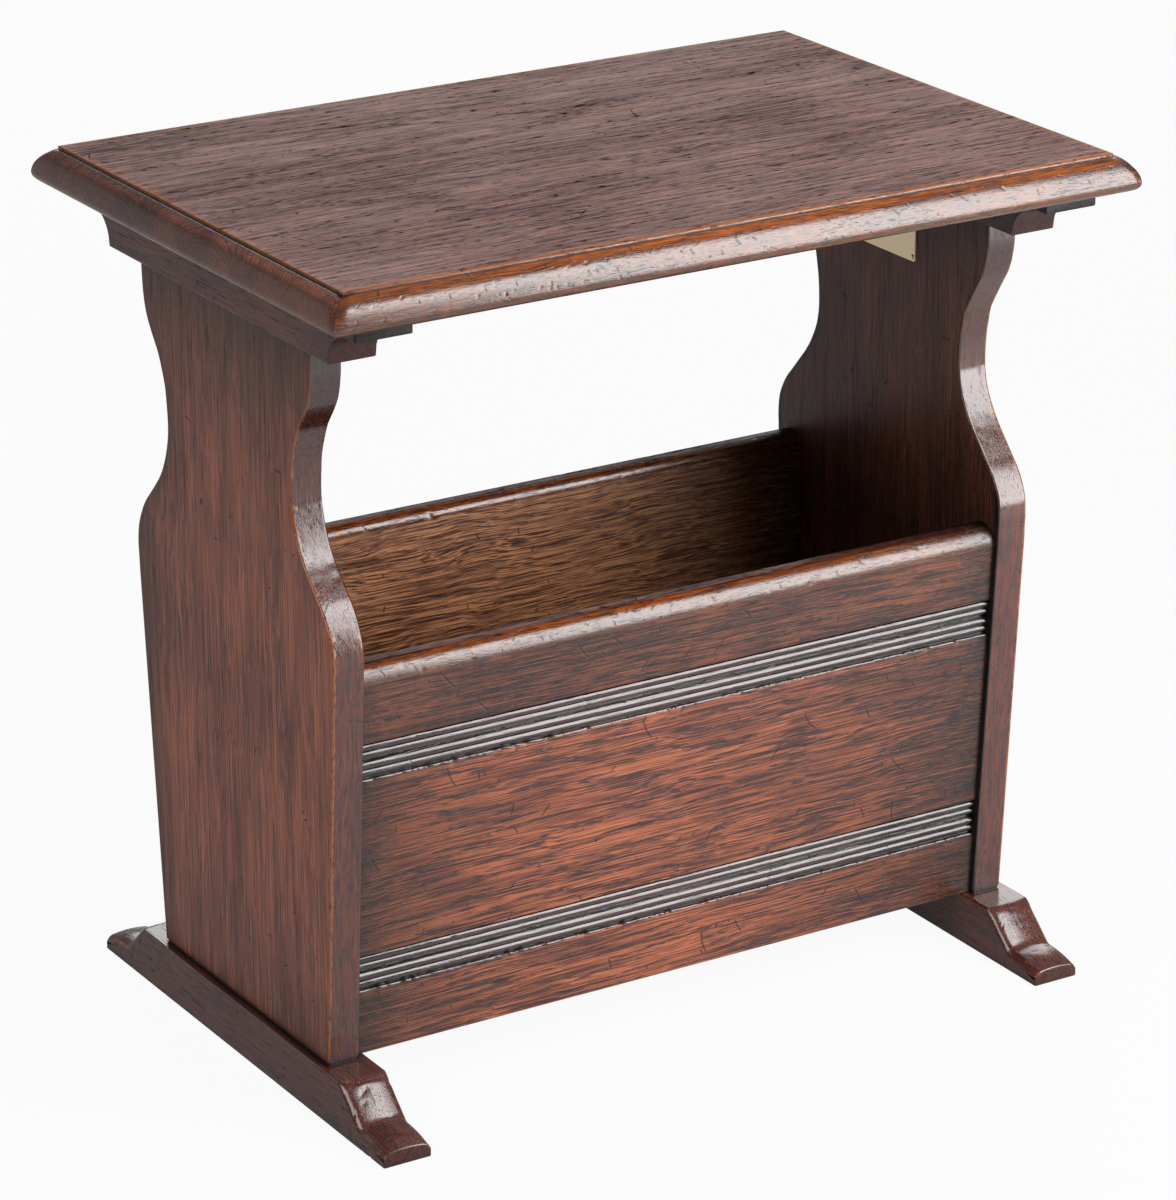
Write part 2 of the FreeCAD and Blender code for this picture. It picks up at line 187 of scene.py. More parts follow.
def linear(red, green, blue):
    """A colour of 0 to 255 screen values as the linear values that a shader works in."""
    screen = np.array((red, green, blue)) / 255.0
    low = screen / 12.92
    high = ((screen + 0.055) / 1.055) ** 2.4
    return tuple(float(value) for value in np.where(screen <= 0.04045, low, high))


def colour(name, red, green, blue, description):
    """A colour property, written in screen values."""
    return FloatVectorProperty(name=name, description=description, default=linear(red, green, blue),
                               size=3, subtype="COLOR", min=0.0, max=1.0)


# Sizes that a user may change
class TopSizes(PropertyGroup):
    moulding_reach: length("Moulding reach", 11.6, "Width of the moulded edge seen from above")
    quirk_drop: length("Quirk drop", 1.6, "Small step from the flat field down to the moulding")
    nose_drop: length("Nose drop", 15.1, "Drop from the field to the widest line of the edge")
    rim_radius: length("Rim radius", 0.7, "Rounding of the field's rim above the quirk")
    ledge: length("Ledge", 1.3, "Narrow flat between the quirk and the moulding")


class PanelSizes(PropertyGroup):
    base_half: length("Base half width", 95.6, "Half width of an end panel on its foot")
    shoulder_half: length("Shoulder half width", 113.5, "Half width at the shoulders")
    waist_half: length("Waist half width", 70.7, "Half width at the waist")
    neck_half: length("Neck half width", 95.2, "Half width under the bearer")
    shoulder_height: length("Shoulder height", 280.5, "Height of the shoulders above the floor")
    waist_low: length("Lower waist height", 325.3, "Height at which the waist starts")
    waist_high: length("Upper waist height", 371.8, "Height at which the waist ends")
    neck_height: length("Neck height", 408.3, "Height at which the neck is full width again")
    shoulder_round: length("Shoulder rounding", 42.0, "Radius of the shoulder")
    waist_low_round: length("Lower waist rounding", 55.0, "Radius of the curve into the waist")
    waist_high_round: length("Upper waist rounding", 65.0, "Radius of the curve out of the waist")
    neck_round: length("Neck rounding", 40.0, "Radius of the curve under the neck")
    arris_radius: length("Arris radius", 1.3, "Rounding that wear gave the long edges")


class FootSizes(PropertyGroup):
    crest_half: length("Crest half length", 119.5, "Where the flat top of the foot ends")
    hollow_half: length("Hollow half length", 139.0, "Where the ogee meets the toe")
    hollow_height: length("Hollow height", 12.8, "Height of the toe at the ogee")
    toe_height: length("Toe height", 9.0, "Height of the toe at its end")
    crest_round: length("Crest rounding", 10.0, "Radius of the crest")
    hollow_round: length("Hollow rounding", 12.0, "Radius of the hollow")
    toe_ease: length("Toe ease", 0.7, "Rounding of the edges round the toe's end")
    toe_swell: length("Toe swell", 1.1, "How far the toe's top bulges between the hollow and its end")
    camber: length("Camber", 1.8, "How much lower the toe's sides are than its middle")
    arris_radius: length("Arris radius", 1.5, "Rounding of the long upper edges")
    toe_arris: length("Toe arris radius", 4.2, "Rounding of the upper edges along the toe")


class RackSizes(PropertyGroup):
    board_thickness: length("Board thickness", 19.0, "Thickness of the rack's front and back")
    board_height: length("Board height", 228.4, "Height of the rack's front and back up their slope")
    foot_half: length("Foot half width", 92.1, "Half the rack's width at the boards' lower edges")
    lean: FloatProperty(name="Lean", description="Outward lean of the rack boards",
                        default=math.radians(4.1), subtype="ANGLE", unit="ROTATION")
    low_band: length("Lower band height", 49.0, "Middle of the lower reeded band up the slope")
    high_band: length("Upper band height", 174.9, "Middle of the upper reeded band up the slope")
    reed_width: length("Reed width", 4.35, "Width of one reed")
    reed_drop: length("Reed drop", 0.5, "Depth of the reeds' tops under the face")
    reed_slope: FloatProperty(name="Reed slope", description="Steepness of a reed at its sides",
                              default=math.radians(56.0), subtype="ANGLE", unit="ROTATION")
    band_depth: length("Band depth", 2.0, "Depth of the grooves beside the reeds")
    quirk_width: length("Quirk width", 0.9, "Flat strip at the edges of a band")
    band_arris: length("Band arris", 1.0, "Rounding of the face's edge under a band")
    groove_width: length("Groove width", 1.8, "Width of the groove between the pairs of reeds")
    groove_extra: length("Groove extra depth", 1.0, "How much deeper that groove is")
    top_round: length("Outer top rounding", 9.4, "Radius of the rounded outer top edge")
    inner_round: length("Inner top rounding", 6.0, "Radius of the rounded inner top edge")


class BearerSizes(PropertyGroup):
    lip: length("Lip", 2.4, "Thickness of the bearer left at its very ends")
    arris_radius: length("Arris radius", 0.9, "Rounding of the bearers' and cleats' edges")


class PlateSizes(PropertyGroup):
    corner_radius: length("Corner radius", 1.2, "Rounding of the plate's corners")
    bevel: length("Bevel", 0.4, "Sloping rim of the plate")


class OakFinish(PropertyGroup):
    streak: colour("Streak", 72, 44, 47, "Early wood that drank the stain")
    wax: colour("Wax", 176, 160, 152, "Old wax in the pores")
    blush: colour("Blush", 88, 38, 36, "Redder, darker patches of the stain")
    pore: colour("Pore", 34, 20, 18, "Stain held in the open pores, scratches and nicks")
    rubbed: colour("Rubbed", 164, 94, 46, "Bare wood where the edges are rubbed")
    # The stain colour is what the shade attribute mixes in: mostly painted shade in corners, grooves, joints
    # and under parts, with some real stain
    stain: colour("Stain", 22, 18, 18, "Dark stain left in corners and grooves")
    bump: amount("Bump", 0.5, "Strength of the fibres, pores and scratches")


for tone, (light, dark, place) in TONES.items():
    OakFinish.__annotations__.update({
        f"{tone}_light": colour(f"{tone.capitalize()} light", *light, f"Lighter wood of {place}"),
        f"{tone}_dark": colour(f"{tone.capitalize()} dark", *dark, f"Darker wood of {place}"),
    })


class MetalFinish(PropertyGroup):
    brass: colour("Brass", 206, 168, 138, "Bare brass of the plate")
    tarnish: colour("Tarnish", 104, 78, 56, "Dulled brass")
    steel: colour("Steel", 120, 118, 116, "Steel of the screws")
    rust: colour("Rust", 70, 48, 38, "Dull film on the screws")


class StageSettings(PropertyGroup):
    eye: FloatVectorProperty(name="Camera place", description="Where the camera stands", size=3,
                             default=(-1.35077, -2.21690, 1.20324), subtype="XYZ", unit="LENGTH")
    turn: FloatVectorProperty(name="Camera turn", description="How the camera is turned", size=3,
                              default=tuple(math.radians(a) for a in (69.301, 0.307, -31.500)),
                              subtype="EULER", unit="ROTATION")
    lens: FloatProperty(name="Lens", description="Focal length on a 36 mm sensor", default=148.764,
                        subtype="DISTANCE_CAMERA")
    floor: colour("Floor", 210, 210, 210, "Pale floor under the table")
    key: amount("Key light", 32.0, "Power of the tall soft light at the front right", 500.0)
    back: amount("Back light", 19.0, "Power of the broad light at the back right", 500.0)
    rear: amount("Rear light", 2.2, "Power of the dim broad light at the back left", 500.0)
    fill: amount("Fill light", 17.0, "Power of the broad soft light at the left", 500.0)
    sky: amount("Surround", 0.12, "Strength of the even light from all round")
    backdrop: amount("Backdrop", 0.965, "Brightness of the surround as the camera sees it")
    floor_lift: amount("Floor lift", 0.94, "Share of the floor that shows as plain white")
    gloss_share: amount("Gloss share", 0.15, "How much of the surround's white shows in polished surfaces")
    floor_gloss: amount("Floor gloss", 0.4, "How much of the floor's white shows in polished surfaces")


class MagazineTable(PropertyGroup):
    top: PointerProperty(type=TopSizes)
    panels: PointerProperty(type=PanelSizes)
    feet: PointerProperty(type=FootSizes)
    rack: PointerProperty(type=RackSizes)
    bearers: PointerProperty(type=BearerSizes)
    plate: PointerProperty(type=PlateSizes)
    oak: PointerProperty(type=OakFinish)
    metal: PointerProperty(type=MetalFinish)
    stage: PointerProperty(type=StageSettings)
    seed: IntProperty(name="Seed", description="Picks the dents and the knife facets", default=11, min=0)


# Surfaces
class Surface:
    """A grid of points: rows follow one another along the piece and columns go round its section.

    along and around measure the skin in millimetres, grain is the place in the log, wear and shade are
    0 to 1, and zones give the finish of each column of faces. Shade is mostly painted shade, with some
    real stain.
    """

    def __init__(self, points, along, around, closed=True):
        self.points = points
        self.along = np.broadcast_to(along, points.shape[:2]).astype(float)
        self.around = np.broadcast_to(around, points.shape[:2]).astype(float)
        self.closed = closed
        self.grain = points / MM
        self.wear = np.zeros(points.shape[:2])
        self.shade = np.zeros(points.shape[:2])
        self.zones = np.zeros(points.shape[1], dtype=int)

    def normals(self):
        """Outward directions: the cross product of the steps along the rows and round the columns."""
        down = np.gradient(self.points, axis=0)
        if self.closed:
            across = np.roll(self.points, -1, axis=1) - np.roll(self.points, 1, axis=1)
        else:
            across = np.gradient(self.points, axis=1)
        normal = np.cross(down, across)
        normal /= np.linalg.norm(normal, axis=2, keepdims=True) + 1e-12
        outward = np.sum(normal * (self.points - self.points.mean(axis=(0, 1))), axis=2).mean()
        return normal * math.copysign(1.0, outward)

    def dent(self, ovals):
        """Presses the skin in by oval bells.

        Each is its depth times exp(-(a / long)^2 - (b / wide)^2), with a and b measured on its turned axes.
        """
        depth = np.zeros(self.points.shape[:2])
        for place, girth, long, wide, turn, deep in ovals:
            run = self.along - place
            side = self.around - girth
            lengthwise = run * math.cos(turn) + side * math.sin(turn)
            crosswise = side * math.cos(turn) - run * math.sin(turn)
            depth += deep * np.exp(-(lengthwise / long) ** 2 - (crosswise / wide) ** 2)
        self.points = self.points - self.normals() * (depth * MM)[..., None]


def marks(rng, count, along, around, long, deep):
    """Random oval marks inside a stretch of the skin; long and deep are (least, most) in millimetres."""
    size = rng.uniform(*long, count)
    return np.column_stack([
        rng.uniform(*along, count),
        rng.uniform(*around, count),
        size,
        size * rng.uniform(0.35, 1.0, count),
        rng.uniform(0.0, math.pi, count),
        rng.uniform(*deep, count),
    ])


def eased_path(corners, steps=22):
    """Straight runs between corners, where a corner with a radius becomes the arc that touches both runs."""
    points = []
    for index, (across, up, radius) in enumerate(corners):
        corner = np.array((across, up))
        if radius == 0.0:
            points.append(corner[None])
            continue
        back = np.array(corners[index - 1][:2]) - corner
        ahead = np.array(corners[index + 1][:2]) - corner
        back /= np.linalg.norm(back)
        ahead /= np.linalg.norm(ahead)
        half = math.acos(np.dot(back, ahead)) / 2.0
        inward = (back + ahead) / np.linalg.norm(back + ahead)
        middle = corner + inward * radius / math.sin(half)
        start = corner + back * radius / math.tan(half) - middle
        turn = math.copysign(math.pi - 2.0 * half, ahead[0] * back[1] - ahead[1] * back[0])
        angles = np.linspace(0.0, turn, steps)
        swung = np.column_stack([start[0] * np.cos(angles) - start[1] * np.sin(angles),
                                 start[0] * np.sin(angles) + start[1] * np.cos(angles)])
        points.append(middle + swung)
    return np.vstack(points)


def section_ring(wide_points, tall_points, corner_steps):
    """A rounded rectangle as four sides and four corner arcs.

    A point is (place * (half - radius) + bulge * radius), so one ring serves every size and radius.
    Points along a side follow 1.5 s - 0.5 s^3, which crowds them towards the arrises.
    """
    spreads = [np.linspace(-1.0, 1.0, count + 2)[1:-1] for count in (wide_points, tall_points)]
    wide, tall = [1.5 * spread - 0.5 * spread ** 3 for spread in spreads]
    arc = np.linspace(0.0, QUARTER, corner_steps)
    place = []
    bulge = []
    for quarter, run in enumerate((wide, tall, wide, tall)):
        turn = quarter * QUARTER
        ahead = np.array((math.cos(turn), math.sin(turn)))
        out = np.array((math.sin(turn), -math.cos(turn)))
        place.append(run[:, None] * ahead + out)
        bulge.append(np.broadcast_to(out, (len(run), 2)))
        place.append(np.broadcast_to(ahead + out, (corner_steps, 2)))
        angles = turn - QUARTER + arc
        bulge.append(np.column_stack([np.cos(angles), np.sin(angles)]))
    return np.vstack(place), np.vstack(bulge)


def stacked(stations, centre, half, radius, ring):
    """Rounded rectangles stacked along an axis; centre, half and radius are one row for each station.

    Returns the two section coordinates, the girth and the distance of each point from the nearest arris.
    """
    place, bulge = ring
    radius = np.broadcast_to(radius, (len(stations), len(place)))[..., None]
    section = centre[:, None, :] + place * (half[:, None, :] - radius) + bulge * radius
    steps = np.linalg.norm(np.diff(section, axis=1), axis=2)
    girth = np.concatenate([np.zeros((len(stations), 1)), np.cumsum(steps, axis=1)], axis=1)
    rim = ((1.0 - np.abs(place)) * (half[:, None, :] - radius)).sum(axis=2)
    return section, girth, rim


def middles_and_halves(low, high, base, crest, inset):
    """Centre and half size of sections in X and Z that fill a box's width between base and crest."""
    centre = np.column_stack([np.full(len(base), (low.x + high.x) / 2.0), (base + crest) / 2.0])
    half = np.column_stack([(high.x - low.x) / 2.0 - inset, (crest - base) / 2.0])
    return centre, half


def eased_ends(stations, radius, steps=5):
    """Stations with extra rings at both ends and how far each ring draws in to round the end's edges."""
    angle = np.linspace(0.0, QUARTER, steps)
    low = stations[0] + radius * (1.0 - np.sin(angle))[::-1]
    high = stations[-1] - radius * (1.0 - np.sin(angle))
    inside = stations[(stations > low[-1] + 1e-6) & (stations < high[0] - 1e-6)]
    inset = radius * (1.0 - np.cos(angle))
    return (np.concatenate([low, inside, high]),
            np.concatenate([inset[::-1], np.zeros(len(inside)), inset]))


def set_along_x(section, places):
    """Points of sections in Y and Z that stand at places along X."""
    along = np.broadcast_to(places[:, None, None], section.shape[:2] + (1,))
    return np.concatenate([along, section], axis=2)


def set_along_y(section, places):
    """Points of sections in X and Z that stand at places along Y."""
    along = np.broadcast_to(places[:, None], section.shape[:2])
    return np.stack([section[..., 0], along, section[..., 1]], axis=-1)


def girth_of(*run):
    """Length in millimetres from the start of a section's line to each of its points."""
    return np.concatenate([[0.0], np.cumsum(np.hypot(*(np.diff(values) for values in run)))]) / MM


def grid_faces(rows, columns, closed):
    """Four-sided faces between neighbouring rows and columns of a grid."""
    index = np.arange(rows * columns).reshape(rows, columns)
    after = np.roll(index, -1, axis=1) if closed else index[:, 1:]
    here = index if closed else index[:, :-1]
    return np.stack([here[:-1], after[:-1], after[1:], here[1:]], axis=-1).reshape(-1, 4)


def signed_volume(points, faces):
    """Volume inside fans of triangles from each face's first corner: negative where faces point inwards."""
    total = 0.0
    for face in faces:
        first = points[face[:, 0]]
        for corner in range(1, face.shape[1] - 1):
            across = np.cross(points[face[:, corner]], points[face[:, corner + 1]])
            total += np.einsum("ij,ij->", first, across)
    return total


def put_in_mesh(name, surface, caps, materials):
    """Makes the mesh of a surface and its caps, turned outwards, with what its finish reads."""
    points = surface.points.reshape(-1, 3)
    rows, columns = surface.points.shape[:2]
    quads = grid_faces(rows, columns, surface.closed)
    sheets = [quads] + [np.array(cap)[None] for cap in caps]
    if signed_volume(points, sheets) < 0.0:
        sheets = [sheet[:, ::-1] for sheet in sheets]
    mesh = bpy.data.meshes.new(name)
    mesh.from_pydata(points.tolist(), [], [face for sheet in sheets for face in sheet.tolist()])
    mesh.polygons.foreach_set("use_smooth", np.ones(len(mesh.polygons), dtype=bool))
    mesh.set_sharp_from_angle(angle=SHARP_EDGE)
    across = columns if surface.closed else columns - 1
    zones = np.concatenate([np.tile(surface.zones[:across], rows - 1), np.zeros(len(caps), dtype=int)])
    for material in materials:
        mesh.materials.append(material)
    mesh.polygons.foreach_set("material_index", zones.astype(np.int32))
    skin = np.stack([surface.along, surface.around, np.zeros_like(surface.along)], axis=-1)
    for label, values in (("grain", surface.grain), ("skin", skin)):
        layer = mesh.attributes.new(label, "FLOAT_VECTOR", "POINT")
        layer.data.foreach_set("vector", values.reshape(-1).astype(np.float32))
    for label, values in (("wear", surface.wear), ("shade", surface.shade)):
        layer = mesh.attributes.new(label, "FLOAT", "POINT")
        layer.data.foreach_set("value", np.clip(values, 0.0, 1.0).reshape(-1).astype(np.float32))
    if mesh.validate():
        raise RuntimeError(f"{name}: the mesh has faces that do not close")
    mesh.update()
    return mesh


def add_piece(node, surface, materials, caps=None):
    """Adds a finished piece that rides on the table and stands for its CAD node."""
    rows, columns = surface.points.shape[:2]
    if caps is None:
        index = np.arange(rows * columns).reshape(rows, columns)
        caps = [index[0, ::-1], index[-1]]
    name = f"finished_{node}"
    piece = bpy.data.objects.new(name, put_in_mesh(name, surface, caps, materials))
    bpy.context.scene.collection.objects.link(piece)
    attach(piece, "root")
    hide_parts(node)
    return piece


# Shaders
class Signal:
    """A shader socket that takes part in Python expressions: each operator adds a Math node to its tree."""

    def __init__(self, tree, socket):
        self.tree = tree
        self.socket = socket

    def math(self, operation, first, second=0.0, third=0.0):
        return self.node("ShaderNodeMath", {"operation": operation}, {0: first, 1: second, 2: third})

    def node(self, kind, settings, sockets, output=0):
        """Adds any node: its settings first, then each socket's value or link, and wraps one output."""
        made = self.tree.nodes.new(kind)
        for setting, value in settings.items():
            setattr(made, setting, value)
        for socket, value in sockets.items():
            if isinstance(value, Signal):
                self.tree.links.new(value.socket, made.inputs[socket])
            else:
                made.inputs[socket].default_value = value
        return Signal(self.tree, made.outputs[output])

    def __add__(self, other):
        return self.math("ADD", self, other)

    __radd__ = __add__

    def __sub__(self, other):
        return self.math("SUBTRACT", self, other)

    def __rsub__(self, other):
        return self.math("SUBTRACT", other, self)

    def __mul__(self, other):
        return self.math("MULTIPLY", self, other)

    __rmul__ = __mul__

    def __truediv__(self, other):
        return self.math("DIVIDE", self, other)

    def __rtruediv__(self, other):
        return self.math("DIVIDE", other, self)

    def __abs__(self):
        return self.math("ABSOLUTE", self)

    def between(self, low, high, start=0.0, end=1.0):
        """A smooth step that goes from start at low to end at high."""
        return self.node("ShaderNodeMapRange", {"interpolation_type": "SMOOTHSTEP"},
                         {0: self, 1: low, 2: high, 3: start, 4: end})

    def clamped(self):
        return self.node("ShaderNodeClamp", {}, {0: self, 1: 0.0, 2: 1.0})

    def parts(self):
        """The three numbers of a vector."""
        split = self.node("ShaderNodeSeparateXYZ", {}, {0: self}).socket.node
        return [Signal(self.tree, output) for output in split.outputs]

    def scaled(self, *factors):
        return self.node("ShaderNodeVectorMath", {"operation": "MULTIPLY"}, {0: self, 1: factors})

    def noise(self, *factors, detail=2.0, roughness=0.5):
        """Soft random values of 0 to 1 on this vector stretched by the factors."""
        return self.node("ShaderNodeTexNoise", {"noise_dimensions": "3D"},
                         {"Vector": self.scaled(*factors), "Scale": 1.0, "Detail": detail,
                          "Roughness": roughness})

    def tinted(self, target, share):
        """This colour mixed towards another by a share of 0 to 1."""
        goal = target if isinstance(target, Signal) else (*target, 1.0)
        return self.node("ShaderNodeMix", {"data_type": "RGBA"}, {0: share, 6: self, 7: goal}, 2)


def new_material(name):
    """An empty node material and a signal to start its expressions from."""
    material = bpy.data.materials.new(name)
    material.use_nodes = True
    tree = material.node_tree
    tree.nodes.clear()
    output = tree.nodes.new("ShaderNodeOutputMaterial")
    return material, Signal(tree, None), output


def flat_colour(signal, value):
    """A colour as a signal, for the first step of a mix."""
    paint = (*value, 1.0)
    return signal.node("ShaderNodeMix", {"data_type": "RGBA"}, {0: 0.0, 6: paint, 7: paint}, 2)


def surface_shader(signal, output, sockets):
    """A Principled shader with these sockets, linked to the material's output."""
    shader = signal.node("ShaderNodeBsdfPrincipled", {}, sockets)
    signal.tree.links.new(shader.socket, output.inputs["Surface"])


def attribute(signal, name, output):
    return signal.node("ShaderNodeAttribute", {"attribute_name": name}, {}, output)


def scratch_marks(skin, cell, width, reach, share, bend):
    """Short bent strokes, one in some of the cells of a random pattern.

    In each cell a stroke lies through the cell's own point, more or less across the piece: across plus
    bend * along^2 gives how far a place is from it, and smooth steps on that and on the length along it
    cut the stroke out.
    """
    spread = skin.scaled(1.0 / cell, 1.0 / cell, 1.0)
    cells = spread.node("ShaderNodeTexVoronoi", {"voronoi_dimensions": "2D"},
                        {"Vector": spread, "Scale": 1.0}, "Position").socket.node
    home = Signal(skin.tree, cells.outputs["Position"])
    chance, lean, size = Signal(skin.tree, cells.outputs["Color"]).parts()
    step_x, step_y, _ = spread.node("ShaderNodeVectorMath", {"operation": "SUBTRACT"},
                                    {0: spread, 1: home}).parts()
    angle = QUARTER + (lean - 0.5) * 1.9
    cosine = angle.math("COSINE", angle)
    sine = angle.math("SINE", angle)
    along = step_x * cosine + step_y * sine
    across = step_y * cosine - step_x * sine + (size - 0.5) * bend * along * along
    thin = abs(across).between(width / cell * 0.4, width / cell, 1.0, 0.0)
    short = (abs(along) / (size + 0.35)).between(reach / cell * 0.55, reach / cell, 1.0, 0.0)
    return thin * short * chance.between(1.0 - share, 1.0 - share + 0.02)


def oak(name, finish, light, dark, ring=8.0, taper=0.03, fibre=(0.016, 0.9), streaks=0.7, early_share=0.7,
        sway=8.0, broad_gain=1.0, fine_gain=2.2, patch_gain=1.0, pores=0.85, roughness=0.36, specular=0.4,
        ior=1.5, coat=0.0, scratches=0.3, blush=0.4, specks=0.0, relief=1.0, wander=10.0,
        pits=0.1, dulling=0.0, dash=(0.06, 1.3)):
    """Stained oak in the log's own measures.

    A slow wave bends the grain. Growth rings are the distance from the pith over the ring width, and the
    fraction of that, roughened by noise, gives the dark streaks of early wood. Fibres, hair lines and open
    pores are noise drawn out along the bent grain. Rubbed edges turn to bare wood, and the shade attribute
    mixes in the stain colour: painted shade in corners, grooves, joints and under parts, with some real
    stain. Scratches and nicks are dark strokes that the bump sinks. A coat of wax is thinner over the pores.
    """
    material, start, output = new_material(name)
    grain = attribute(start, "grain", "Vector")
    skin = attribute(start, "skin", "Vector")
    wear = attribute(start, "wear", "Fac")
    shade = attribute(start, "shade", "Fac")

    wave = (grain.noise(0.013, 0.03, 0.03) - 0.5) * sway
    swing = start.node("ShaderNodeCombineXYZ", {}, {0: 0.0, 1: wave, 2: wave * 0.6})
    bent = start.node("ShaderNodeVectorMath", {"operation": "ADD"}, {0: grain, 1: swing})
    lengthwise, across, deep = bent.parts()
    run, cross = fibre
    broad = bent.noise(run * 0.7, cross * 0.22, cross * 0.22, detail=3.0, roughness=0.6)
    fine = bent.noise(run, cross, cross, detail=1.5, roughness=0.6)
    hair = bent.noise(run * 2.5, cross * 2.4, cross * 2.4, detail=0.0)
    patch = grain.noise(0.008, 0.016, 0.016)
    tint = grain.noise(0.014, 0.06, 0.06)
    fleck = grain.noise(0.25, 0.7, 0.7)

    pith = across * across + deep * deep
    year = (pith.math("SQRT", pith) + lengthwise * taper + (broad - 0.5) * wander) / ring
    early = year.math("FRACT", year).between(0.0, early_share, 1.0, 0.0)
    streak = (early + (fine - 0.5) * 1.5 + (fleck - 0.5) * 0.8 + (tint - 0.5) * 0.6).between(0.76, 0.96)
    dashes = bent.noise(dash[0], dash[1], dash[1], detail=1.0)
    vessel = dashes.between(0.57, 0.66) * (early * 0.7 + 0.35)

    lines = (fine - 0.5) * fine_gain + (hair - 0.5) * (fine_gain * 0.6)
    value = 0.55 + (broad - 0.5) * broad_gain + lines + (patch - 0.5) * patch_gain
    wood = flat_colour(start, dark).tinted(light, value.clamped())
    wood = wood.tinted(finish.blush, tint.between(0.45, 0.7) * blush)
    wood = wood.tinted(finish.streak, streak * streaks)
    wood = wood.tinted(finish.pore, (vessel * pores).clamped())
    glints = bent.noise(0.2, 1.1, 1.1, detail=1.0).between(0.66, 0.72) * (streak * 0.8 + 0.2) * specks
    wood = wood.tinted(finish.wax, glints)

    rubbed = (wear + (fleck - 0.5) * 1.3 + (fine - 0.5) * 0.8).between(0.6, 0.95)
    wood = wood.tinted(finish.rubbed, rubbed * 0.8)
    # Painted shade, with some real stain: the shade attribute darkens the wood towards the stain colour
    held = (shade + (fleck - 0.5) * 0.5 * shade + (broad - 0.5) * 0.8 * shade).clamped()
    wood = wood.tinted(finish.stain, held)

    strokes = scratch_marks(skin, 21.0, 0.8, 7.0, scratches, 1.1)
    nicks = scratch_marks(skin, 9.0, 0.8, 2.0, pits, 0.6)
    harm = (strokes + nicks).clamped()
    wood = wood.tinted(finish.pore, harm * 0.7)

    gloss = roughness + vessel * 0.2 + harm * 0.15 + held.between(0.6, 0.95) * dulling + (fine - 0.5) * 0.2
    height = fine * 0.4 + hair * 0.3 - vessel * 0.6 - harm * 0.7 + fleck * 0.25
    bumped = start.node("ShaderNodeBump", {}, {"Strength": finish.bump * relief, "Distance": 0.35 * MM,
                                               "Height": height})
    sockets = {
        "Base Color": wood,
        "Roughness": gloss.clamped(),
        "IOR": ior,
        "Specular IOR Level": specular,
        "Normal": bumped,
    }
    if coat > 0.0:
        film = 1.0 - vessel * 0.9 - streak * 0.35 - harm * 0.6 + lines * 0.45 + (patch - 0.5) * 1.2
        sockets["Coat Weight"] = (film * coat).clamped()
        sockets["Coat Roughness"] = 0.3
    surface_shader(start, output, sockets)
    return material


def metal(name, bright, dull, roughness):
    """Dulled metal: slow noise on the piece's own place mixes bright and dull, fine noise is brush lines."""
    material, start, output = new_material(name)
    place = start.node("ShaderNodeTexCoord", {}, {}, "Object")
    cloud = place.noise(90.0, 90.0, 90.0, detail=4.0, roughness=0.6)
    brush = place.noise(300.0, 400.0, 4000.0, detail=2.0)
    film = (cloud + (brush - 0.5) * 0.5).between(0.42, 0.72)
    tone = flat_colour(start, bright).tinted(dull, film * 0.6)
    bumped = start.node("ShaderNodeBump", {}, {"Strength": 0.2, "Distance": 0.05 * MM, "Height": brush})
    surface_shader(start, output, {
        "Base Color": tone,
        "Metallic": 1.0,
        "Roughness": (roughness + film * 0.2).clamped(),
        "Normal": bumped,
    })
    return material


def finish_of(context, key):
    """The named finish, made when it is first asked for."""
    if key in bpy.data.materials:
        return bpy.data.materials[key]
    table = context.scene.magazine_table
    if key in METAL_FINISHES:
        bright, dull, roughness = METAL_FINISHES[key]
        return metal(key, getattr(table.metal, bright), getattr(table.metal, dull), roughness)
    tone, character = OAK_FINISHES[key]
    light, dark = (getattr(table.oak, f"{tone}_{end}") for end in ("light", "dark"))
    return oak(key, table.oak, light, dark, **character)


def finishes_of(context, *keys):
    return [finish_of(context, key) for key in keys]


def dice(table, group, second=False):
    """Random numbers of their own for a group of pieces, and for the second piece of a pair."""
    return np.random.default_rng(table.seed + SEEDS[group] + second)


def near(distance, reach):
    """1 at a line and fading as exp(-distance / reach) away from it."""
    return np.exp(-np.abs(distance) / reach)


# Pieces
def moulding_section(top, thickness):
    """Inset and drop of the top's edge: field, rounded rim, quirk wall, ledge, thumbnail, quarter round.

    The thumbnail arc has its centre level with the nose, so it leaves the nose upright: its radius is
    (span^2 + fall^2) / (2 span), with the span across and the fall down from the ledge to the nose.
    """
    reach, quirk, nose, rim = top.moulding_reach, top.quirk_drop, top.nose_drop, top.rim_radius
    fall = nose - quirk
    span = reach - top.ledge
    radius = (span ** 2 + fall ** 2) / (2.0 * span)
    field = reach + rim + FIELD_STEPS
    turn = np.linspace(0.0, QUARTER, 6)
    sweep = np.linspace(math.atan2(fall, radius - span), 0.0, 34)
    under = thickness - nose
    tuck = np.linspace(0.0, QUARTER, 12)[1:]
    inset = np.concatenate([field, reach + rim * (1.0 - np.sin(turn)), [reach],
                            radius * (1.0 - np.cos(sweep)), under * (1.0 - np.cos(tuck)),
                            [under + UNDERSIDE_FLAT]])
    drop = np.concatenate([np.zeros(len(field)), rim * (1.0 - np.cos(turn)), [quirk],
                           nose - radius * np.sin(sweep), nose + under * np.sin(tuck), [thickness]])
    edge_start = len(field) + len(turn) - 1
    return inset, drop, edge_start


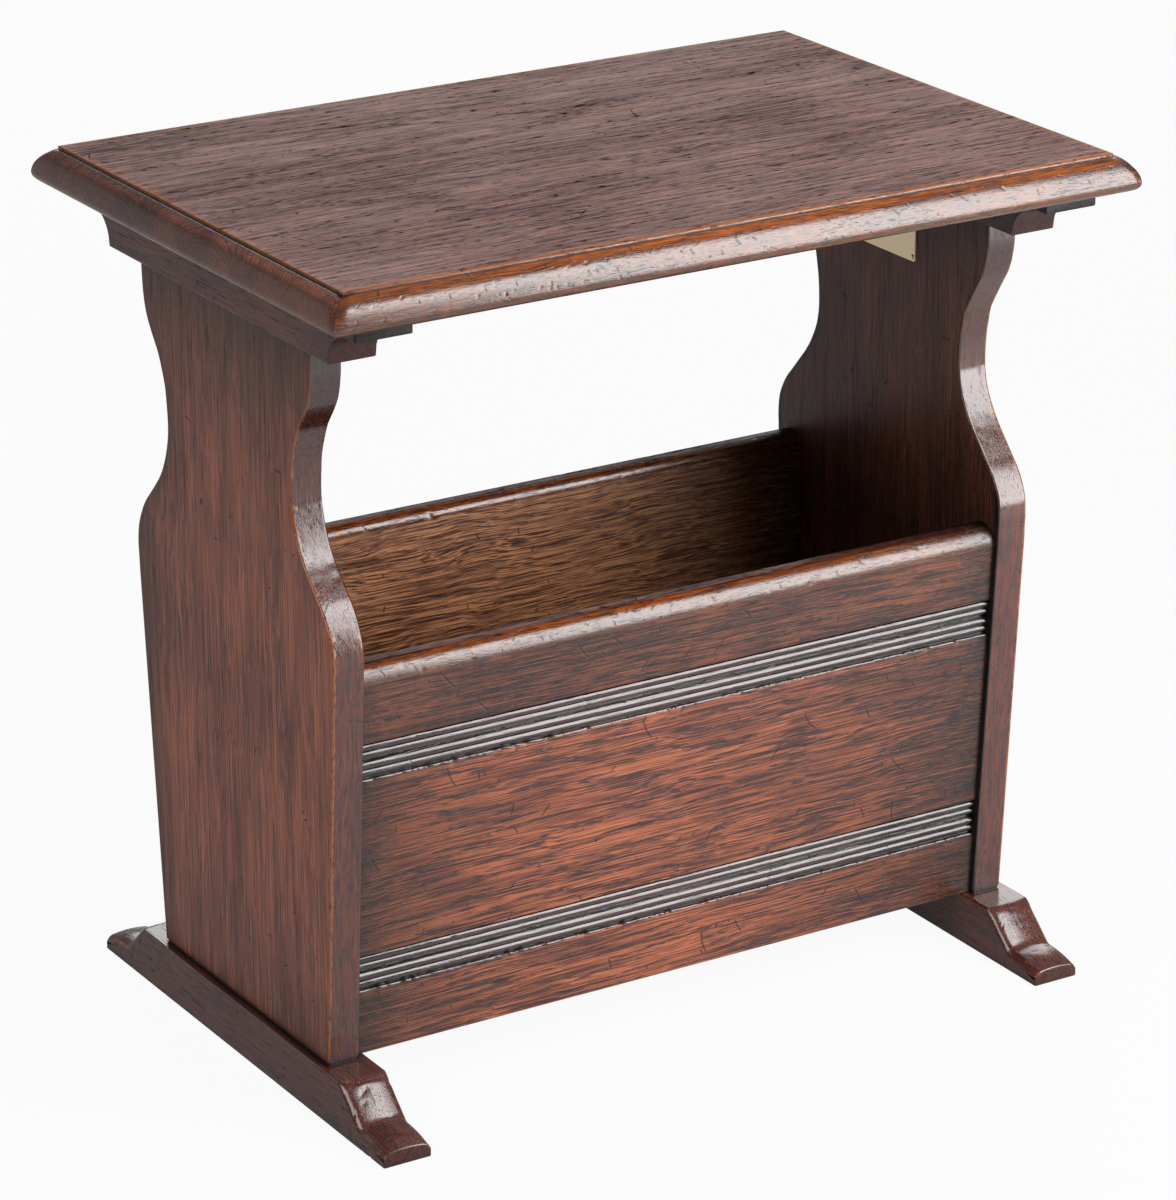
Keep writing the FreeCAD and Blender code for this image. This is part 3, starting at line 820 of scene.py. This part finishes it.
def top_board(top, node, outer, rng):
    """One board of the top: its edge section carried along three sides, with the corners on the mitre."""
    low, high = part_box(node)
    half_length = max(abs(low.x), abs(high.x))
    outer_y, seam_y = (low.y, high.y) if outer < 0.0 else (high.y, low.y)
    inset, drop, edge_start = moulding_section(top, high.z - low.z)
    side_share = np.linspace(0.0, 1.0, TOP_END_ROWS)[:, None]
    long_share = np.linspace(-1.0, 1.0, TOP_LONG_ROWS)[1:-1, None]
    corner_x = half_length - inset
    corner_y = outer_y - outer * inset
    side_y = seam_y + (corner_y - seam_y) * side_share
    side_x = np.broadcast_to(corner_x, side_y.shape)
    plan_x = np.concatenate([-side_x, corner_x * long_share, side_x[::-1]]).T
    long_y = np.broadcast_to(corner_y, (len(long_share), len(inset)))
    plan_y = np.concatenate([side_y, long_y, side_y[::-1]]).T
    height = np.broadcast_to((high.z - drop)[:, None], plan_x.shape)
    points = np.stack([plan_x, plan_y, height], axis=-1)

    run = np.concatenate([-half_length - (1.0 - side_share[:, 0]) * abs(outer_y - seam_y),
                          half_length * long_share[:, 0],
                          half_length + (1.0 - side_share[::-1, 0]) * abs(outer_y - seam_y)]) / MM
    girth = girth_of(inset, drop)
    surface = Surface(points, run, girth[:, None], closed=False)
    surface.along[:edge_start] = plan_x[:edge_start] / MM
    surface.around[:edge_start] = plan_y[:edge_start] / MM
    rim = girth[edge_start]
    rubbing = np.where(girth < rim, near(girth - rim, 9.0), near(girth - rim, 0.25)) * 1.05
    from_mitre = np.abs(np.abs(run) - half_length / MM)
    mitre = np.maximum(near(from_mitre, 5.0) * 0.7, near(from_mitre, 45.0) * 0.45) * (girth >= rim)[:, None]
    surface.wear = np.broadcast_to(rubbing[:, None], plan_x.shape)
    wall_foot = rim + (top.quirk_drop - top.rim_radius) / MM
    at_end = np.abs(run) > half_length / MM
    below_amber = np.clip((girth - wall_foot - 5.0) / 3.5, 0.0, 1.0) * 0.62
    # Painted shade darkens the quirk wall and ledge, and more widely on the end-grain ends
    in_quirk = (girth > rim + 0.2) & (girth < wall_foot + top.ledge / MM + 0.2)
    line_shade = np.maximum(below_amber, in_quirk * 0.92)
    end_shade = near(girth - wall_foot - 0.8, 2.0)[:, None] * at_end * 0.95
    surface.shade = np.maximum.reduce([np.broadcast_to(line_shade[:, None], plan_x.shape), mitre, end_shade])
    surface.grain = points / MM + LOGS[node]
    nose = girth[edge_start + NOSE_ROW]
    surface.dent(np.vstack([
        marks(rng, 240, (run[0], run[-1]), (rim + 4.0, nose + 6.0), (0.6, 1.3), (0.06, 0.22)),
        marks(rng, 40, (run[0], run[-1]), (rim - 0.6, rim + 0.6), (0.8, 2.5), (0.05, 0.15)),
        [(corner * half_length / MM, rim + 10.0, 11.0, 3.5, QUARTER, 1.5) for corner in (-1.0, 1.0)],
    ]))
    return surface, edge_start


class TABLE_OT_top(Operator):
    """Make the two boards of the top with their moulded edge"""
    bl_idname = "magazine_table.top"
    bl_label = "Top boards"

    def execute(self, context):
        table = context.scene.magazine_table
        finishes = finishes_of(context, "oak_top", "oak_edge", "oak_end_grain")
        for node, outer in TOP_BOARDS.items():
            surface, edge_start = top_board(table.top, node, outer, dice(table, "top", outer > 0.0))
            rows, columns = surface.points.shape[:2]
            index = np.arange(rows * columns).reshape(rows, columns)
            seam = np.concatenate([index[:, 0], index[::-1, -1]])
            piece = add_piece(node, surface, finishes, [index[0, ::-1], index[-1], seam])
            faces = np.zeros(len(piece.data.polygons), dtype=np.int32)
            edge = np.where(np.abs(surface.along[-1, :-1]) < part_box(node)[1].x / MM, 1, 2)
            first, last = edge_start * (columns - 1), (rows - 1) * (columns - 1)
            faces[first:last] = np.tile(edge, rows - 1 - edge_start)
            piece.data.polygons.foreach_set("material_index", faces)
        return {"FINISHED"}


def rail(node, stations, low_edge, arris, rng, offset):
    """A rail along Y: rounded rectangles whose lower edge follows low_edge, with the ends eased."""
    low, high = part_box(node)
    places, inset = eased_ends(stations, arris)
    base = low_edge(np.abs(places)) + inset
    crest = high.z - inset
    centre, half = middles_and_halves(low, high, base, crest, inset)
    radius = np.minimum(arris, half.min(axis=1) * 0.8)[:, None]
    section, girth, rim = stacked(places, centre, half, radius, section_ring(9, 9, 5))
    points = set_along_y(section, places)
    surface = Surface(points, places[:, None] / MM, girth / MM)
    surface.wear = near(rim, RUBBED_REACH) * 0.5
    # Painted shade from the top's overhang darkens the ends, on top of their darker end grain
    surface.shade = near(high.y - np.abs(points[..., 1]), 22.0 * MM) * 0.98
    surface.grain = points[..., [1, 0, 2]] / MM + offset
    reach = (low.y / MM, high.y / MM)
    surface.dent(marks(rng, 30, reach, (0.0, girth.max() / MM), (0.8, 2.0), (0.05, 0.25)))
    return surface


class TABLE_OT_cleats(Operator):
    """Make the cleats that the top is screwed to"""
    bl_idname = "magazine_table.cleats"
    bl_label = "Cleats"

    def execute(self, context):
        table = context.scene.magazine_table
        for side, sign in SIDES.items():
            node = f"{side}_cleat"
            low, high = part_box(node)
            surface = rail(node, np.linspace(low.y, high.y, 160), lambda y: np.full(len(y), low.z),
                           table.bearers.arris_radius, dice(table, "cleat", sign > 0.0),
                           LOGS["cleat"] * (1.0, -sign, 1.0))
            add_piece(node, surface, finishes_of(context, "oak_foot"))
        return {"FINISHED"}


def frame_level(side):
    """Height of an end panel's shoulder line under its bearer, which hangs from the cleat's lower face."""
    cleat_low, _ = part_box(f"{side}_cleat")
    return cleat_low.z - BEARER_DEPTH


class TABLE_OT_bearers(Operator):
    """Make the bearers with a quarter hollow under each end"""
    bl_idname = "magazine_table.bearers"
    bl_label = "Bearers"

    def execute(self, context):
        table = context.scene.magazine_table
        for side, sign in SIDES.items():
            node = f"{side}_bearer"
            low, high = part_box(node)
            level = frame_level(side)
            hollow = high.z - table.bearers.lip - level

            def lower_edge(y, end=high.y, base=level, radius=hollow):
                into = np.clip(end - y, 0.0, radius)
                return base + np.sqrt(radius ** 2 - into ** 2) * (y > end - radius)

            inner = np.linspace(low.y + hollow, high.y - hollow, 90)
            curve = hollow * (1.0 - np.cos(np.linspace(0.0, QUARTER, 40)))
            stations = np.unique(np.concatenate([low.y + curve, inner, high.y - curve]))
            surface = rail(node, stations, lower_edge, table.bearers.arris_radius,
                           dice(table, "bearer", sign > 0.0), LOGS["bearer"] * (1.0, -sign, 1.0))
            add_piece(node, surface, finishes_of(context, "oak_foot"))
        return {"FINISHED"}


def end_panel(sizes, side, sign, rng):
    """An end panel: rounded rectangles stacked upwards, as wide as its outline less the knife's facets."""
    low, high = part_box(f"{side}_end_panel")
    floor_of_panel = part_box(f"{side}_foot")[1].z
    ceiling = frame_level(side)
    outline = eased_path([
        (sizes.base_half, floor_of_panel, 0.0),
        (sizes.shoulder_half, sizes.shoulder_height, sizes.shoulder_round),
        (sizes.waist_half, sizes.waist_low, sizes.waist_low_round),
        (sizes.waist_half, sizes.waist_high, sizes.waist_high_round),
        (sizes.neck_half, sizes.neck_height, sizes.neck_round),
        (sizes.neck_half, ceiling, 0.0),
    ])
    heights = np.concatenate([[floor_of_panel, floor_of_panel + JOINT_GAP],
                              np.linspace(floor_of_panel + 1.3 * JOINT_GAP, ceiling, PANEL_ROWS)])
    half_width = np.interp(heights, outline[:, 1], outline[:, 0])
    knots = np.arange(sizes.shoulder_height - FACET_LEAD, ceiling, FACET_PITCH)
    cuts = rng.uniform(0.0, FACET_CUT, len(knots))
    cuts[[0, -1]] = 0.0
    facets = np.interp(heights, knots, cuts, left=0.0, right=0.0)
    drawn_in = (heights < floor_of_panel + 1.1 * JOINT_GAP) * JOINT_DRAW
    half_width = half_width - facets - drawn_in
    middle = (low.x + high.x) / 2.0
    centre = np.column_stack([np.full(len(heights), middle), np.zeros(len(heights))])
    half = np.column_stack([(high.x - low.x) / 2.0 - drawn_in, half_width])
    ring = section_ring(12, 22, 6)
    section, girth, rim = stacked(heights, centre, half, sizes.arris_radius, ring)
    level = np.broadcast_to(heights[:, None], rim.shape)
    points = np.concatenate([section, level[..., None]], axis=2)
    surface = Surface(points, heights[:, None] / MM, girth / MM)
    depth_y = points[..., 1]
    outer_front = (depth_y < 0.0) & (points[..., 0] * sign > middle * sign)
    surface.wear = near(rim, RUBBED_REACH) * np.where(outer_front, 0.9, 0.42)
    border = np.abs(depth_y) - half_width[:, None]
    inner_face = ring[1][:, 0] * sign < -0.5
    rear_face = (np.abs(ring[1][:, 1]) < 0.3) & (depth_y > 0.0)
    # Painted shade: a dark line where the panel stands on its foot, the inner faces darker lower down and
    # blackest in the strip beside the rack boards, and the neck under the bearer. The panel is also darker
    # towards the foot and along its rear border.
    beside_rack = (border > -5.0 * MM) & (level < sizes.shoulder_height)
    in_rack_shade = np.clip((sizes.waist_low - level) / (90.0 * MM), 0.0, 1.0) * 0.5
    foot_joint_shade = near(level - floor_of_panel, 3.5 * MM) * 1.1
    inside = inner_face * np.where(beside_rack, 1.0, 0.35 + in_rack_shade)
    under_bearer_shade = near(level - ceiling, 60.0 * MM) * 0.85
    above_foot = near(level - floor_of_panel, 60.0 * MM) * 0.3
    rear_border = near(border, 14.0 * MM) * rear_face * 0.8
    surface.shade = np.maximum.reduce([foot_joint_shade, inside, under_bearer_shade, above_foot, rear_border])
    surface.grain = points[..., [2, 1, 0]] / MM + LOGS["panel"] * (1.0, 1.0, -sign)
    around = girth[0].max() / MM
    surface.dent(np.vstack([
        marks(rng, 70, (30.0, 430.0), (0.0, around), (0.8, 2.4), (0.05, 0.16)),
        marks(rng, 70, (270.0, 420.0), (0.0, 22.0), (0.6, 1.6), (0.05, 0.2)),
    ]))
    surface.zones = np.where(np.abs(ring[1][:, 1]) > 0.5, 1, 0)
    return surface


class TABLE_OT_end_panels(Operator):
    """Make the two shaped end panels"""
    bl_idname = "magazine_table.end_panels"
    bl_label = "End panels"

    def execute(self, context):
        table = context.scene.magazine_table
        finishes = finishes_of(context, "oak_end", "oak_shaped")
        for side, sign in SIDES.items():
            surface = end_panel(table.panels, side, sign, dice(table, "panel", sign > 0.0))
            add_piece(f"{side}_end_panel", surface, finishes)
        return {"FINISHED"}


def foot(sizes, panel_half, side, sign, rng):
    """A foot: rounded rectangles along Y under the outline of its crest and toes, the toes cambered."""
    low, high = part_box(f"{side}_foot")
    outline = eased_path([
        (0.0, high.z, 0.0),
        (sizes.crest_half, high.z, sizes.crest_round),
        (sizes.hollow_half, sizes.hollow_height, sizes.hollow_round),
        (high.y, sizes.toe_height, 0.0),
    ])
    bend = sizes.crest_half - sizes.crest_round
    reach = np.concatenate([np.linspace(0.0, bend, 60), np.linspace(bend, high.y, 100)[1:]])
    places, inset = eased_ends(np.concatenate([-reach[:0:-1], reach]), sizes.toe_ease)
    out = np.abs(places)
    toe_share = np.clip((out - sizes.hollow_half) / (high.y - sizes.hollow_half), 0.0, 1.0)
    crest = np.interp(out, outline[:, 0], outline[:, 1])
    crest = crest + sizes.toe_swell * np.sin(math.pi * toe_share) - inset
    past_crest = np.clip((out - sizes.crest_half) / (6.0 * MM) + 0.7, 0.0, 1.0)
    centre, half = middles_and_halves(low, high, np.full(len(places), low.z), crest, inset)
    ring = section_ring(16, 10, 8)
    upper = ring[0][:, 1] > 0.0
    arris = sizes.arris_radius + (sizes.toe_arris - sizes.arris_radius) * past_crest
    radius = np.where(upper, np.minimum(arris, half[:, 1] * 0.9)[:, None], FOOT_SOLE_ARRIS)
    section, girth, rim = stacked(places, centre, half, radius, ring)
    aside = (section[..., 0] - centre[:, :1]) / half[:, :1]
    fall = (sizes.camber * past_crest)[:, None] * aside ** 2
    section[..., 1] -= fall * np.clip(ring[0][:, 1], 0.0, 1.0)
    points = set_along_y(section, places)
    surface = Surface(points, places[:, None] / MM, girth / MM)
    crest_line = near(out - sizes.crest_half, 2.5 * MM)[:, None]
    surface.wear = np.maximum(near(rim, RUBBED_REACH) * 0.5, crest_line * 0.55) * upper
    surface.wear = surface.wear * (points[..., 2] > 3.0 * MM)
    panel_low, panel_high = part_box(f"{side}_end_panel")
    clear_x = np.maximum(panel_low.x - points[..., 0], points[..., 0] - panel_high.x)
    clear_y = np.abs(points[..., 1]) - panel_half
    from_panel = np.maximum(np.maximum(clear_x, clear_y), 0.0)
    # Painted shade: a dark line along the floor and round the end panel standing on the foot
    surface.shade = np.maximum(near(points[..., 2], 2.5 * MM) * 0.5,
                               near(from_panel, 1.5 * MM) * (points[..., 2] > high.z - 2.0 * MM))
    surface.grain = points[..., [1, 0, 2]] / MM + LOGS["foot"] * (1.0, -sign, 1.0)
    around = girth.max() / MM
    surface.dent(np.vstack([
        marks(rng, 60, (-165.0, 165.0), (around * 0.3, around * 0.8), (0.8, 2.2), (0.05, 0.3)),
        marks(rng, 30, (-150.0, -115.0), (around * 0.3, around * 0.8), (0.8, 2.0), (0.1, 0.4)),
        marks(rng, 30, (115.0, 150.0), (around * 0.3, around * 0.8), (0.8, 2.0), (0.1, 0.4)),
    ]))
    surface.zones = np.where(ring[1][:, 1] > 0.5, 1, 0)
    return surface


class TABLE_OT_feet(Operator):
    """Make the two feet with ogee ends and low toes"""
    bl_idname = "magazine_table.feet"
    bl_label = "Feet"

    def execute(self, context):
        table = context.scene.magazine_table
        finishes = finishes_of(context, "oak_foot", "oak_shaped")
        for side, sign in SIDES.items():
            rng = dice(table, "foot", sign > 0.0)
            surface = foot(table.feet, table.panels.base_half, side, sign, rng)
            add_piece(f"{side}_foot", surface, finishes)
        return {"FINISHED"}


def reeded_band(rack, middle):
    """Depth and rise across one band: rounded arris, quirk, two reeds, a deeper V groove, two reeds, quirk.

    A reed is an arc of a circle that turns by the reed's slope to each side of its crown: across it is the
    sine of the turn, and its depth grows from the reed's drop to the band's depth as one minus the cosine.
    """
    turn = np.linspace(-rack.reed_slope, rack.reed_slope, 13)
    swell = np.sin(turn) / math.sin(rack.reed_slope)
    sink = (1.0 - np.cos(turn)) / (1.0 - math.cos(rack.reed_slope))
    crown = rack.reed_drop + (rack.band_depth - rack.reed_drop) * sink
    half = 2.0 * rack.reed_width + rack.groove_width / 2.0 + rack.quirk_width
    base = middle - half
    roll = np.linspace(0.0, QUARTER, 6)
    rise = [base - rack.band_arris * (1.0 - np.sin(roll)),
            np.array((base + BAND_WALL_SLOPE, base + rack.quirk_width))]
    depth = [rack.band_arris * (1.0 - np.cos(roll)), np.array((rack.band_depth, rack.band_depth))]
    place = base + rack.quirk_width
    for reed in range(4):
        rise.append(place + rack.reed_width * (swell[1:] + 1.0) / 2.0)
        depth.append(crown[1:])
        place += rack.reed_width
        if reed == 1:
            rise.append(np.array((place + rack.groove_width / 2.0, place + rack.groove_width)))
            depth.append(np.array((rack.band_depth + rack.groove_extra, rack.band_depth)))
            place += rack.groove_width
    rise.append(np.array((place + rack.quirk_width - BAND_WALL_SLOPE,)))
    depth.append(np.array((rack.band_depth,)))
    return np.concatenate(depth), np.concatenate(rise)


def rack_section(rack, height):
    """Depth and rise round a rack board: outer face with its two bands, rounded top, inner face, underside.

    Returns also the zone of each point.
    """
    thick, top, inner = rack.board_thickness, rack.top_round, rack.inner_round
    low_depth, low_rise = reeded_band(rack, rack.low_band)
    high_depth, high_rise = reeded_band(rack, rack.high_band)
    turn = np.linspace(0.0, QUARTER, 14)
    eased = np.array((0.2, 0.0, 0.0)) * MM
    above = np.array((0.12, 0.5, 2.0)) * MM
    below = np.array((-2.0, -0.5)) * MM
    runs = [
        (FACE, np.zeros(7), np.linspace(BOARD_ARRIS, low_rise[0] - BAND_MARGIN, 7)),
        (FACE, np.zeros(2), low_rise[0] + below),
        (BAND, low_depth, low_rise),
        (FACE, eased, low_rise[-1] + above),
        (FACE, np.zeros(14), np.linspace(low_rise[-1] + BAND_MARGIN, high_rise[0] - BAND_MARGIN, 14)),
        (FACE, np.zeros(2), high_rise[0] + below),
        (BAND, high_depth, high_rise),
        (FACE, eased, high_rise[-1] + above),
        (FACE, np.zeros(4), np.linspace(high_rise[-1] + BAND_MARGIN, height - top - ROLL_MARGIN, 4)),
        (CREST, top * (1.0 - np.cos(turn)), height - top + top * np.sin(turn)),
        (CREST, thick - inner * (1.0 - np.cos(turn[::-1])), height - inner + inner * np.sin(turn[::-1])),
        (INSIDE, np.full(14, thick), np.linspace(height - inner - ROLL_MARGIN, BOARD_ARRIS, 14)),
        (INSIDE, np.array((thick - BOARD_ARRIS, BOARD_ARRIS)), np.zeros(2)),
    ]
    zone = np.concatenate([np.full(len(depth), mark) for mark, depth, _ in runs])
    depth = np.concatenate([run[1] for run in runs])
    rise = np.concatenate([run[2] for run in runs])
    return depth, rise, zone


def rack_board(rack, node, sign, rng):
    """A rack board: its section, leant outwards from the foot, carried along X between the end panels."""
    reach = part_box("right_end_panel")[0].x
    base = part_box("right_foot")[1].z
    cosine, sine = math.cos(rack.lean), math.sin(rack.lean)
    _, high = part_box(node)
    thick, height = rack.board_thickness, min((high.z - base) / cosine, rack.board_height)
    depth, rise, zone = rack_section(rack, height)
    out = rack.foot_half + rise * sine - depth * cosine
    up = base + rise * cosine + depth * sine
    across = np.linspace(-reach, reach, RACK_ROWS)[:, None]
    shape = (len(across), len(depth))
    girth = girth_of(depth, rise)
    rim = girth[zone == CREST]
    section = np.broadcast_to(np.column_stack([sign * out, up]), shape + (2,))
    points = set_along_x(section, across[:, 0])
    surface = Surface(points, across / MM, girth)
    level = np.abs(np.gradient(rise)) < 0.35 * np.abs(np.gradient(depth))
    rearward = (depth - thick / 2.0) * sign < 0.0
    surface.zones = np.where((zone == CREST) & (level | rearward), DULL_CREST, zone)
    surface.wear = np.broadcast_to(np.where(zone == CREST, 0.36, 0.0), shape)
    from_end = reach - np.abs(across)
    # Painted shade and stain in the bands' grooves, below 1 mm deep
    groove_shade_and_stain = np.where(zone == BAND, np.clip((depth - 1.0 * MM) / (0.7 * MM), 0.0, 1.0) * 0.95, 0.0)
    # Darker towards the ends, with painted shade at the joints with the end panels, and darker above the
    # upper band
    ends = np.maximum(near(from_end, 11.0 * MM) * 0.9, near(from_end, 85.0 * MM) * 0.85)
    upper_strip = np.where((zone == FACE) & (rise > rack.high_band), 0.7, 0.0)
    outer_roll = (zone == CREST) & (depth < rack.top_round * 0.35)
    inner_roll = (rise > height - rack.inner_round) & (depth > thick - rack.inner_round)
    # Darker outer rounding, and painted shade on the front board's inner rounding
    crest = np.where(outer_roll, 0.65, np.where(inner_roll & (sign < 0.0), 0.95, 0.0))
    lines = np.broadcast_to(np.maximum.reduce([groove_shade_and_stain, upper_strip, crest]), shape)
    # Painted shadow of the right end panel over the rack's right part, deepest on the inside
    right_end_shadow = near(reach - across, 150.0 * MM) * np.where(zone == INSIDE, 0.97, 0.9)
    surface.shade = np.maximum.reduce([ends * np.where(zone <= BAND, 1.0, 0.5), right_end_shadow, lines])
    lying = np.broadcast_to(np.column_stack([rise, depth]), shape + (2,))
    surface.grain = set_along_x(lying, across[:, 0]) / MM + LOGS[node]
    arrises = girth[(zone == BAND) & (depth == 0.0)]
    surface.dent(np.vstack([
        marks(rng, 90, RACK_REACH, (rim[0] - 3.0, rim[-1]), (0.9, 2.4), (0.08, 0.35)),
        marks(rng, 120, RACK_REACH, (0.0, rim[0]), (0.9, 2.6), (0.05, 0.2)),
        *(marks(rng, 120, RACK_REACH, (arris, arris + 1.1), (0.8, 3.0), (0.1, 0.4))
          for arris in arrises),
    ]))
    return surface


class TABLE_OT_rack_boards(Operator):
    """Make the reeded front and back of the rack"""
    bl_idname = "magazine_table.rack_boards"
    bl_label = "Rack boards"

    def execute(self, context):
        table = context.scene.magazine_table
        finishes = finishes_of(context, "oak_rack", "oak_band", "oak_edge", "oak_inside", "oak_top")
        for face, sign in RACK_FACES.items():
            node = f"rack_{face}_panel"
            surface = rack_board(table.rack, node, sign, dice(table, "rack", sign > 0.0))
            add_piece(node, surface, finishes)
        return {"FINISHED"}


class TABLE_OT_rack_bottom(Operator):
    """Make the bottom of the rack"""
    bl_idname = "magazine_table.rack_bottom"
    bl_label = "Rack bottom"

    def execute(self, context):
        table = context.scene.magazine_table
        node = "rack_bottom"
        low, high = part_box(node)
        places, inset = eased_ends(np.linspace(low.x, high.x, 120), BOTTOM_EASE)
        centre = np.broadcast_to(np.array((0.0, (low.z + high.z) / 2.0)), (len(places), 2))
        half = np.column_stack([high.y - inset, (high.z - low.z) / 2.0 - inset])
        section, girth, _ = stacked(places, centre, half, BOTTOM_ARRIS, section_ring(30, 5, 4))
        points = set_along_x(section, places)
        surface = Surface(points, places[:, None] / MM, girth / MM)
        # Painted shade: the whole bottom darker, and darkest along the boards
        surface.shade = 0.25 + near(high.y - np.abs(points[..., 1]), 6.0 * MM) * 0.5
        surface.grain = points / MM + LOGS["bottom"]
        rng = dice(table, "bottom")
        surface.dent(marks(rng, 40, RACK_REACH, (0.0, 160.0), (0.8, 2.0), (0.05, 0.2)))
        add_piece(node, surface, finishes_of(context, "oak_inside"))
        return {"FINISHED"}


def dress_node(node, material):
    """Gives a CAD node, shown as it is, its finish."""
    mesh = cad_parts[node].data
    mesh.materials.clear()
    mesh.materials.append(material)


class TABLE_OT_plate(Operator):
    """Make the bare brass plate and dress its pins"""
    bl_idname = "magazine_table.plate"
    bl_label = "Brass plate"

    def execute(self, context):
        sizes = context.scene.magazine_table.plate
        low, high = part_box("brass_plate")
        brass = finish_of(context, "brass")
        rim = np.linspace(0.0, QUARTER, 5)
        inset = np.concatenate([[0.0], sizes.bevel * (1.0 - np.cos(rim)), [2.0 * sizes.bevel]])
        place_x = np.concatenate([[high.x], low.x + sizes.bevel * (1.0 - np.sin(rim)), [low.x]])
        centre = np.tile([(low.y + high.y) / 2.0, (low.z + high.z) / 2.0], (len(inset), 1))
        half = np.array([(high.y - low.y) / 2.0, (high.z - low.z) / 2.0]) - inset[:, None]
        section, girth, _ = stacked(place_x, centre, half, sizes.corner_radius, section_ring(20, 12, 6))
        points = set_along_x(section, place_x)
        add_piece("brass_plate", Surface(points, 0.0, girth / MM), [brass])
        dress_node("plate_pins", brass)
        return {"FINISHED"}


class TABLE_OT_screws(Operator):
    """Dress the screws that hold the top"""
    bl_idname = "magazine_table.screws"
    bl_label = "Top screws"

    def execute(self, context):
        for side in SIDES:
            dress_node(f"{side}_top_screws", finish_of(context, "steel"))
        return {"FINISHED"}


def soft_light(name, place, aim, size, power):
    """A rectangular soft light at a place, turned towards an aim."""
    lamp = bpy.data.lights.new(name, "AREA")
    lamp.shape = "RECTANGLE"
    lamp.size, lamp.size_y = size
    lamp.energy = power
    holder = bpy.data.objects.new(name, lamp)
    bpy.context.scene.collection.objects.link(holder)
    holder.location = place
    holder.rotation_euler = (Vector(aim) - Vector(place)).to_track_quat("-Z", "Y").to_euler()


def seen_directly(signal, gloss_share):
    """1 for rays from the camera or sent through, a share in a gloss, and 0 for light on the object."""
    path = signal.node("ShaderNodeLightPath", {}, {}, "Is Camera Ray").socket.node
    kinds = [Signal(signal.tree, path.outputs[name]) for name in
             ("Is Camera Ray", "Is Glossy Ray", "Is Transmission Ray")]
    return (kinds[0] + kinds[1] * gloss_share + kinds[2]).clamped()


def pale_floor(scene, settings):
    """A flat floor that shows as white, apart from a share that takes the object's shadow."""
    material, start, output = new_material("pale_floor")
    plain = start.node("ShaderNodeBsdfDiffuse", {}, {"Color": (*settings.floor, 1.0)})
    white = start.node("ShaderNodeEmission", {}, {"Color": WHITE, "Strength": 1.0})
    share = seen_directly(start, settings.floor_gloss) * settings.floor_lift
    mixed = start.node("ShaderNodeMixShader", {}, {0: share, 1: plain, 2: white})
    start.tree.links.new(mixed.socket, output.inputs["Surface"])
    reach = np.linspace(-FLOOR_REACH, FLOOR_REACH, FLOOR_POINTS)
    across, along = np.meshgrid(reach, reach)
    points = np.stack([across, along, np.zeros_like(across)], axis=-1).reshape(-1, 3)
    mesh = bpy.data.meshes.new("floor")
    mesh.from_pydata(points.tolist(), [], grid_faces(FLOOR_POINTS, FLOOR_POINTS, False).tolist())
    mesh.materials.append(material)
    floor = bpy.data.objects.new("floor", mesh)
    scene.collection.objects.link(floor)


def surround(scene, settings):
    """Even light from all round, with a brighter backdrop for the camera."""
    world = bpy.data.worlds.new("surround")
    world.use_nodes = True
    tree = world.node_tree
    tree.nodes.clear()
    output = tree.nodes.new("ShaderNodeOutputWorld")
    start = Signal(tree, None)
    lift = settings.backdrop - settings.sky
    strength = seen_directly(start, settings.gloss_share) * lift + settings.sky
    light = start.node("ShaderNodeBackground", {}, {"Color": WHITE, "Strength": strength})
    tree.links.new(light.socket, output.inputs["Surface"])
    scene.world = world


def photograph_camera(scene, settings):
    """The camera at the photograph's angle."""
    lens = bpy.data.cameras.new("camera")
    lens.lens = settings.lens
    lens.sensor_width = SENSOR_WIDTH
    camera = bpy.data.objects.new("camera", lens)
    scene.collection.objects.link(camera)
    camera.location = settings.eye
    camera.rotation_euler = settings.turn
    scene.camera = camera


class TABLE_OT_stage(Operator):
    """Make the pale floor, the soft lights and the camera"""
    bl_idname = "magazine_table.stage"
    bl_label = "Stage"

    def execute(self, context):
        scene = context.scene
        settings = scene.magazine_table.stage
        scene.view_settings.view_transform = "Standard"
        pale_floor(scene, settings)
        surround(scene, settings)
        for name, (place, aim, size) in LAMPS.items():
            soft_light(f"{name}_light", place, aim, size, getattr(settings, name))
        photograph_camera(scene, settings)
        return {"FINISHED"}


OPERATORS = (
    TABLE_OT_top,
    TABLE_OT_cleats,
    TABLE_OT_bearers,
    TABLE_OT_end_panels,
    TABLE_OT_feet,
    TABLE_OT_rack_boards,
    TABLE_OT_rack_bottom,
    TABLE_OT_plate,
    TABLE_OT_screws,
    TABLE_OT_stage,
)


class TABLE_PT_pieces(Panel):
    """Lists the table's pieces in the sidebar"""
    bl_idname = "TABLE_PT_pieces"
    bl_label = "Magazine Table"
    bl_space_type = "VIEW_3D"
    bl_region_type = "UI"
    bl_category = "Magazine Table"

    def draw(self, context):
        for operator in OPERATORS:
            self.layout.operator(operator.bl_idname)


CLASSES = (
    TopSizes, PanelSizes, FootSizes, RackSizes, BearerSizes, PlateSizes, OakFinish, MetalFinish,
    StageSettings, MagazineTable, *OPERATORS, TABLE_PT_pieces,
)


def register():
    for item in CLASSES:
        bpy.utils.register_class(item)
    bpy.types.Scene.magazine_table = PointerProperty(type=MagazineTable)


def unregister():
    del bpy.types.Scene.magazine_table
    for item in reversed(CLASSES):
        bpy.utils.unregister_class(item)


def main():
    register()
    for operator in OPERATORS:
        group, name = operator.bl_idname.split(".")
        getattr(getattr(bpy.ops, group), name)()


if __name__ == "__main__":
    main()
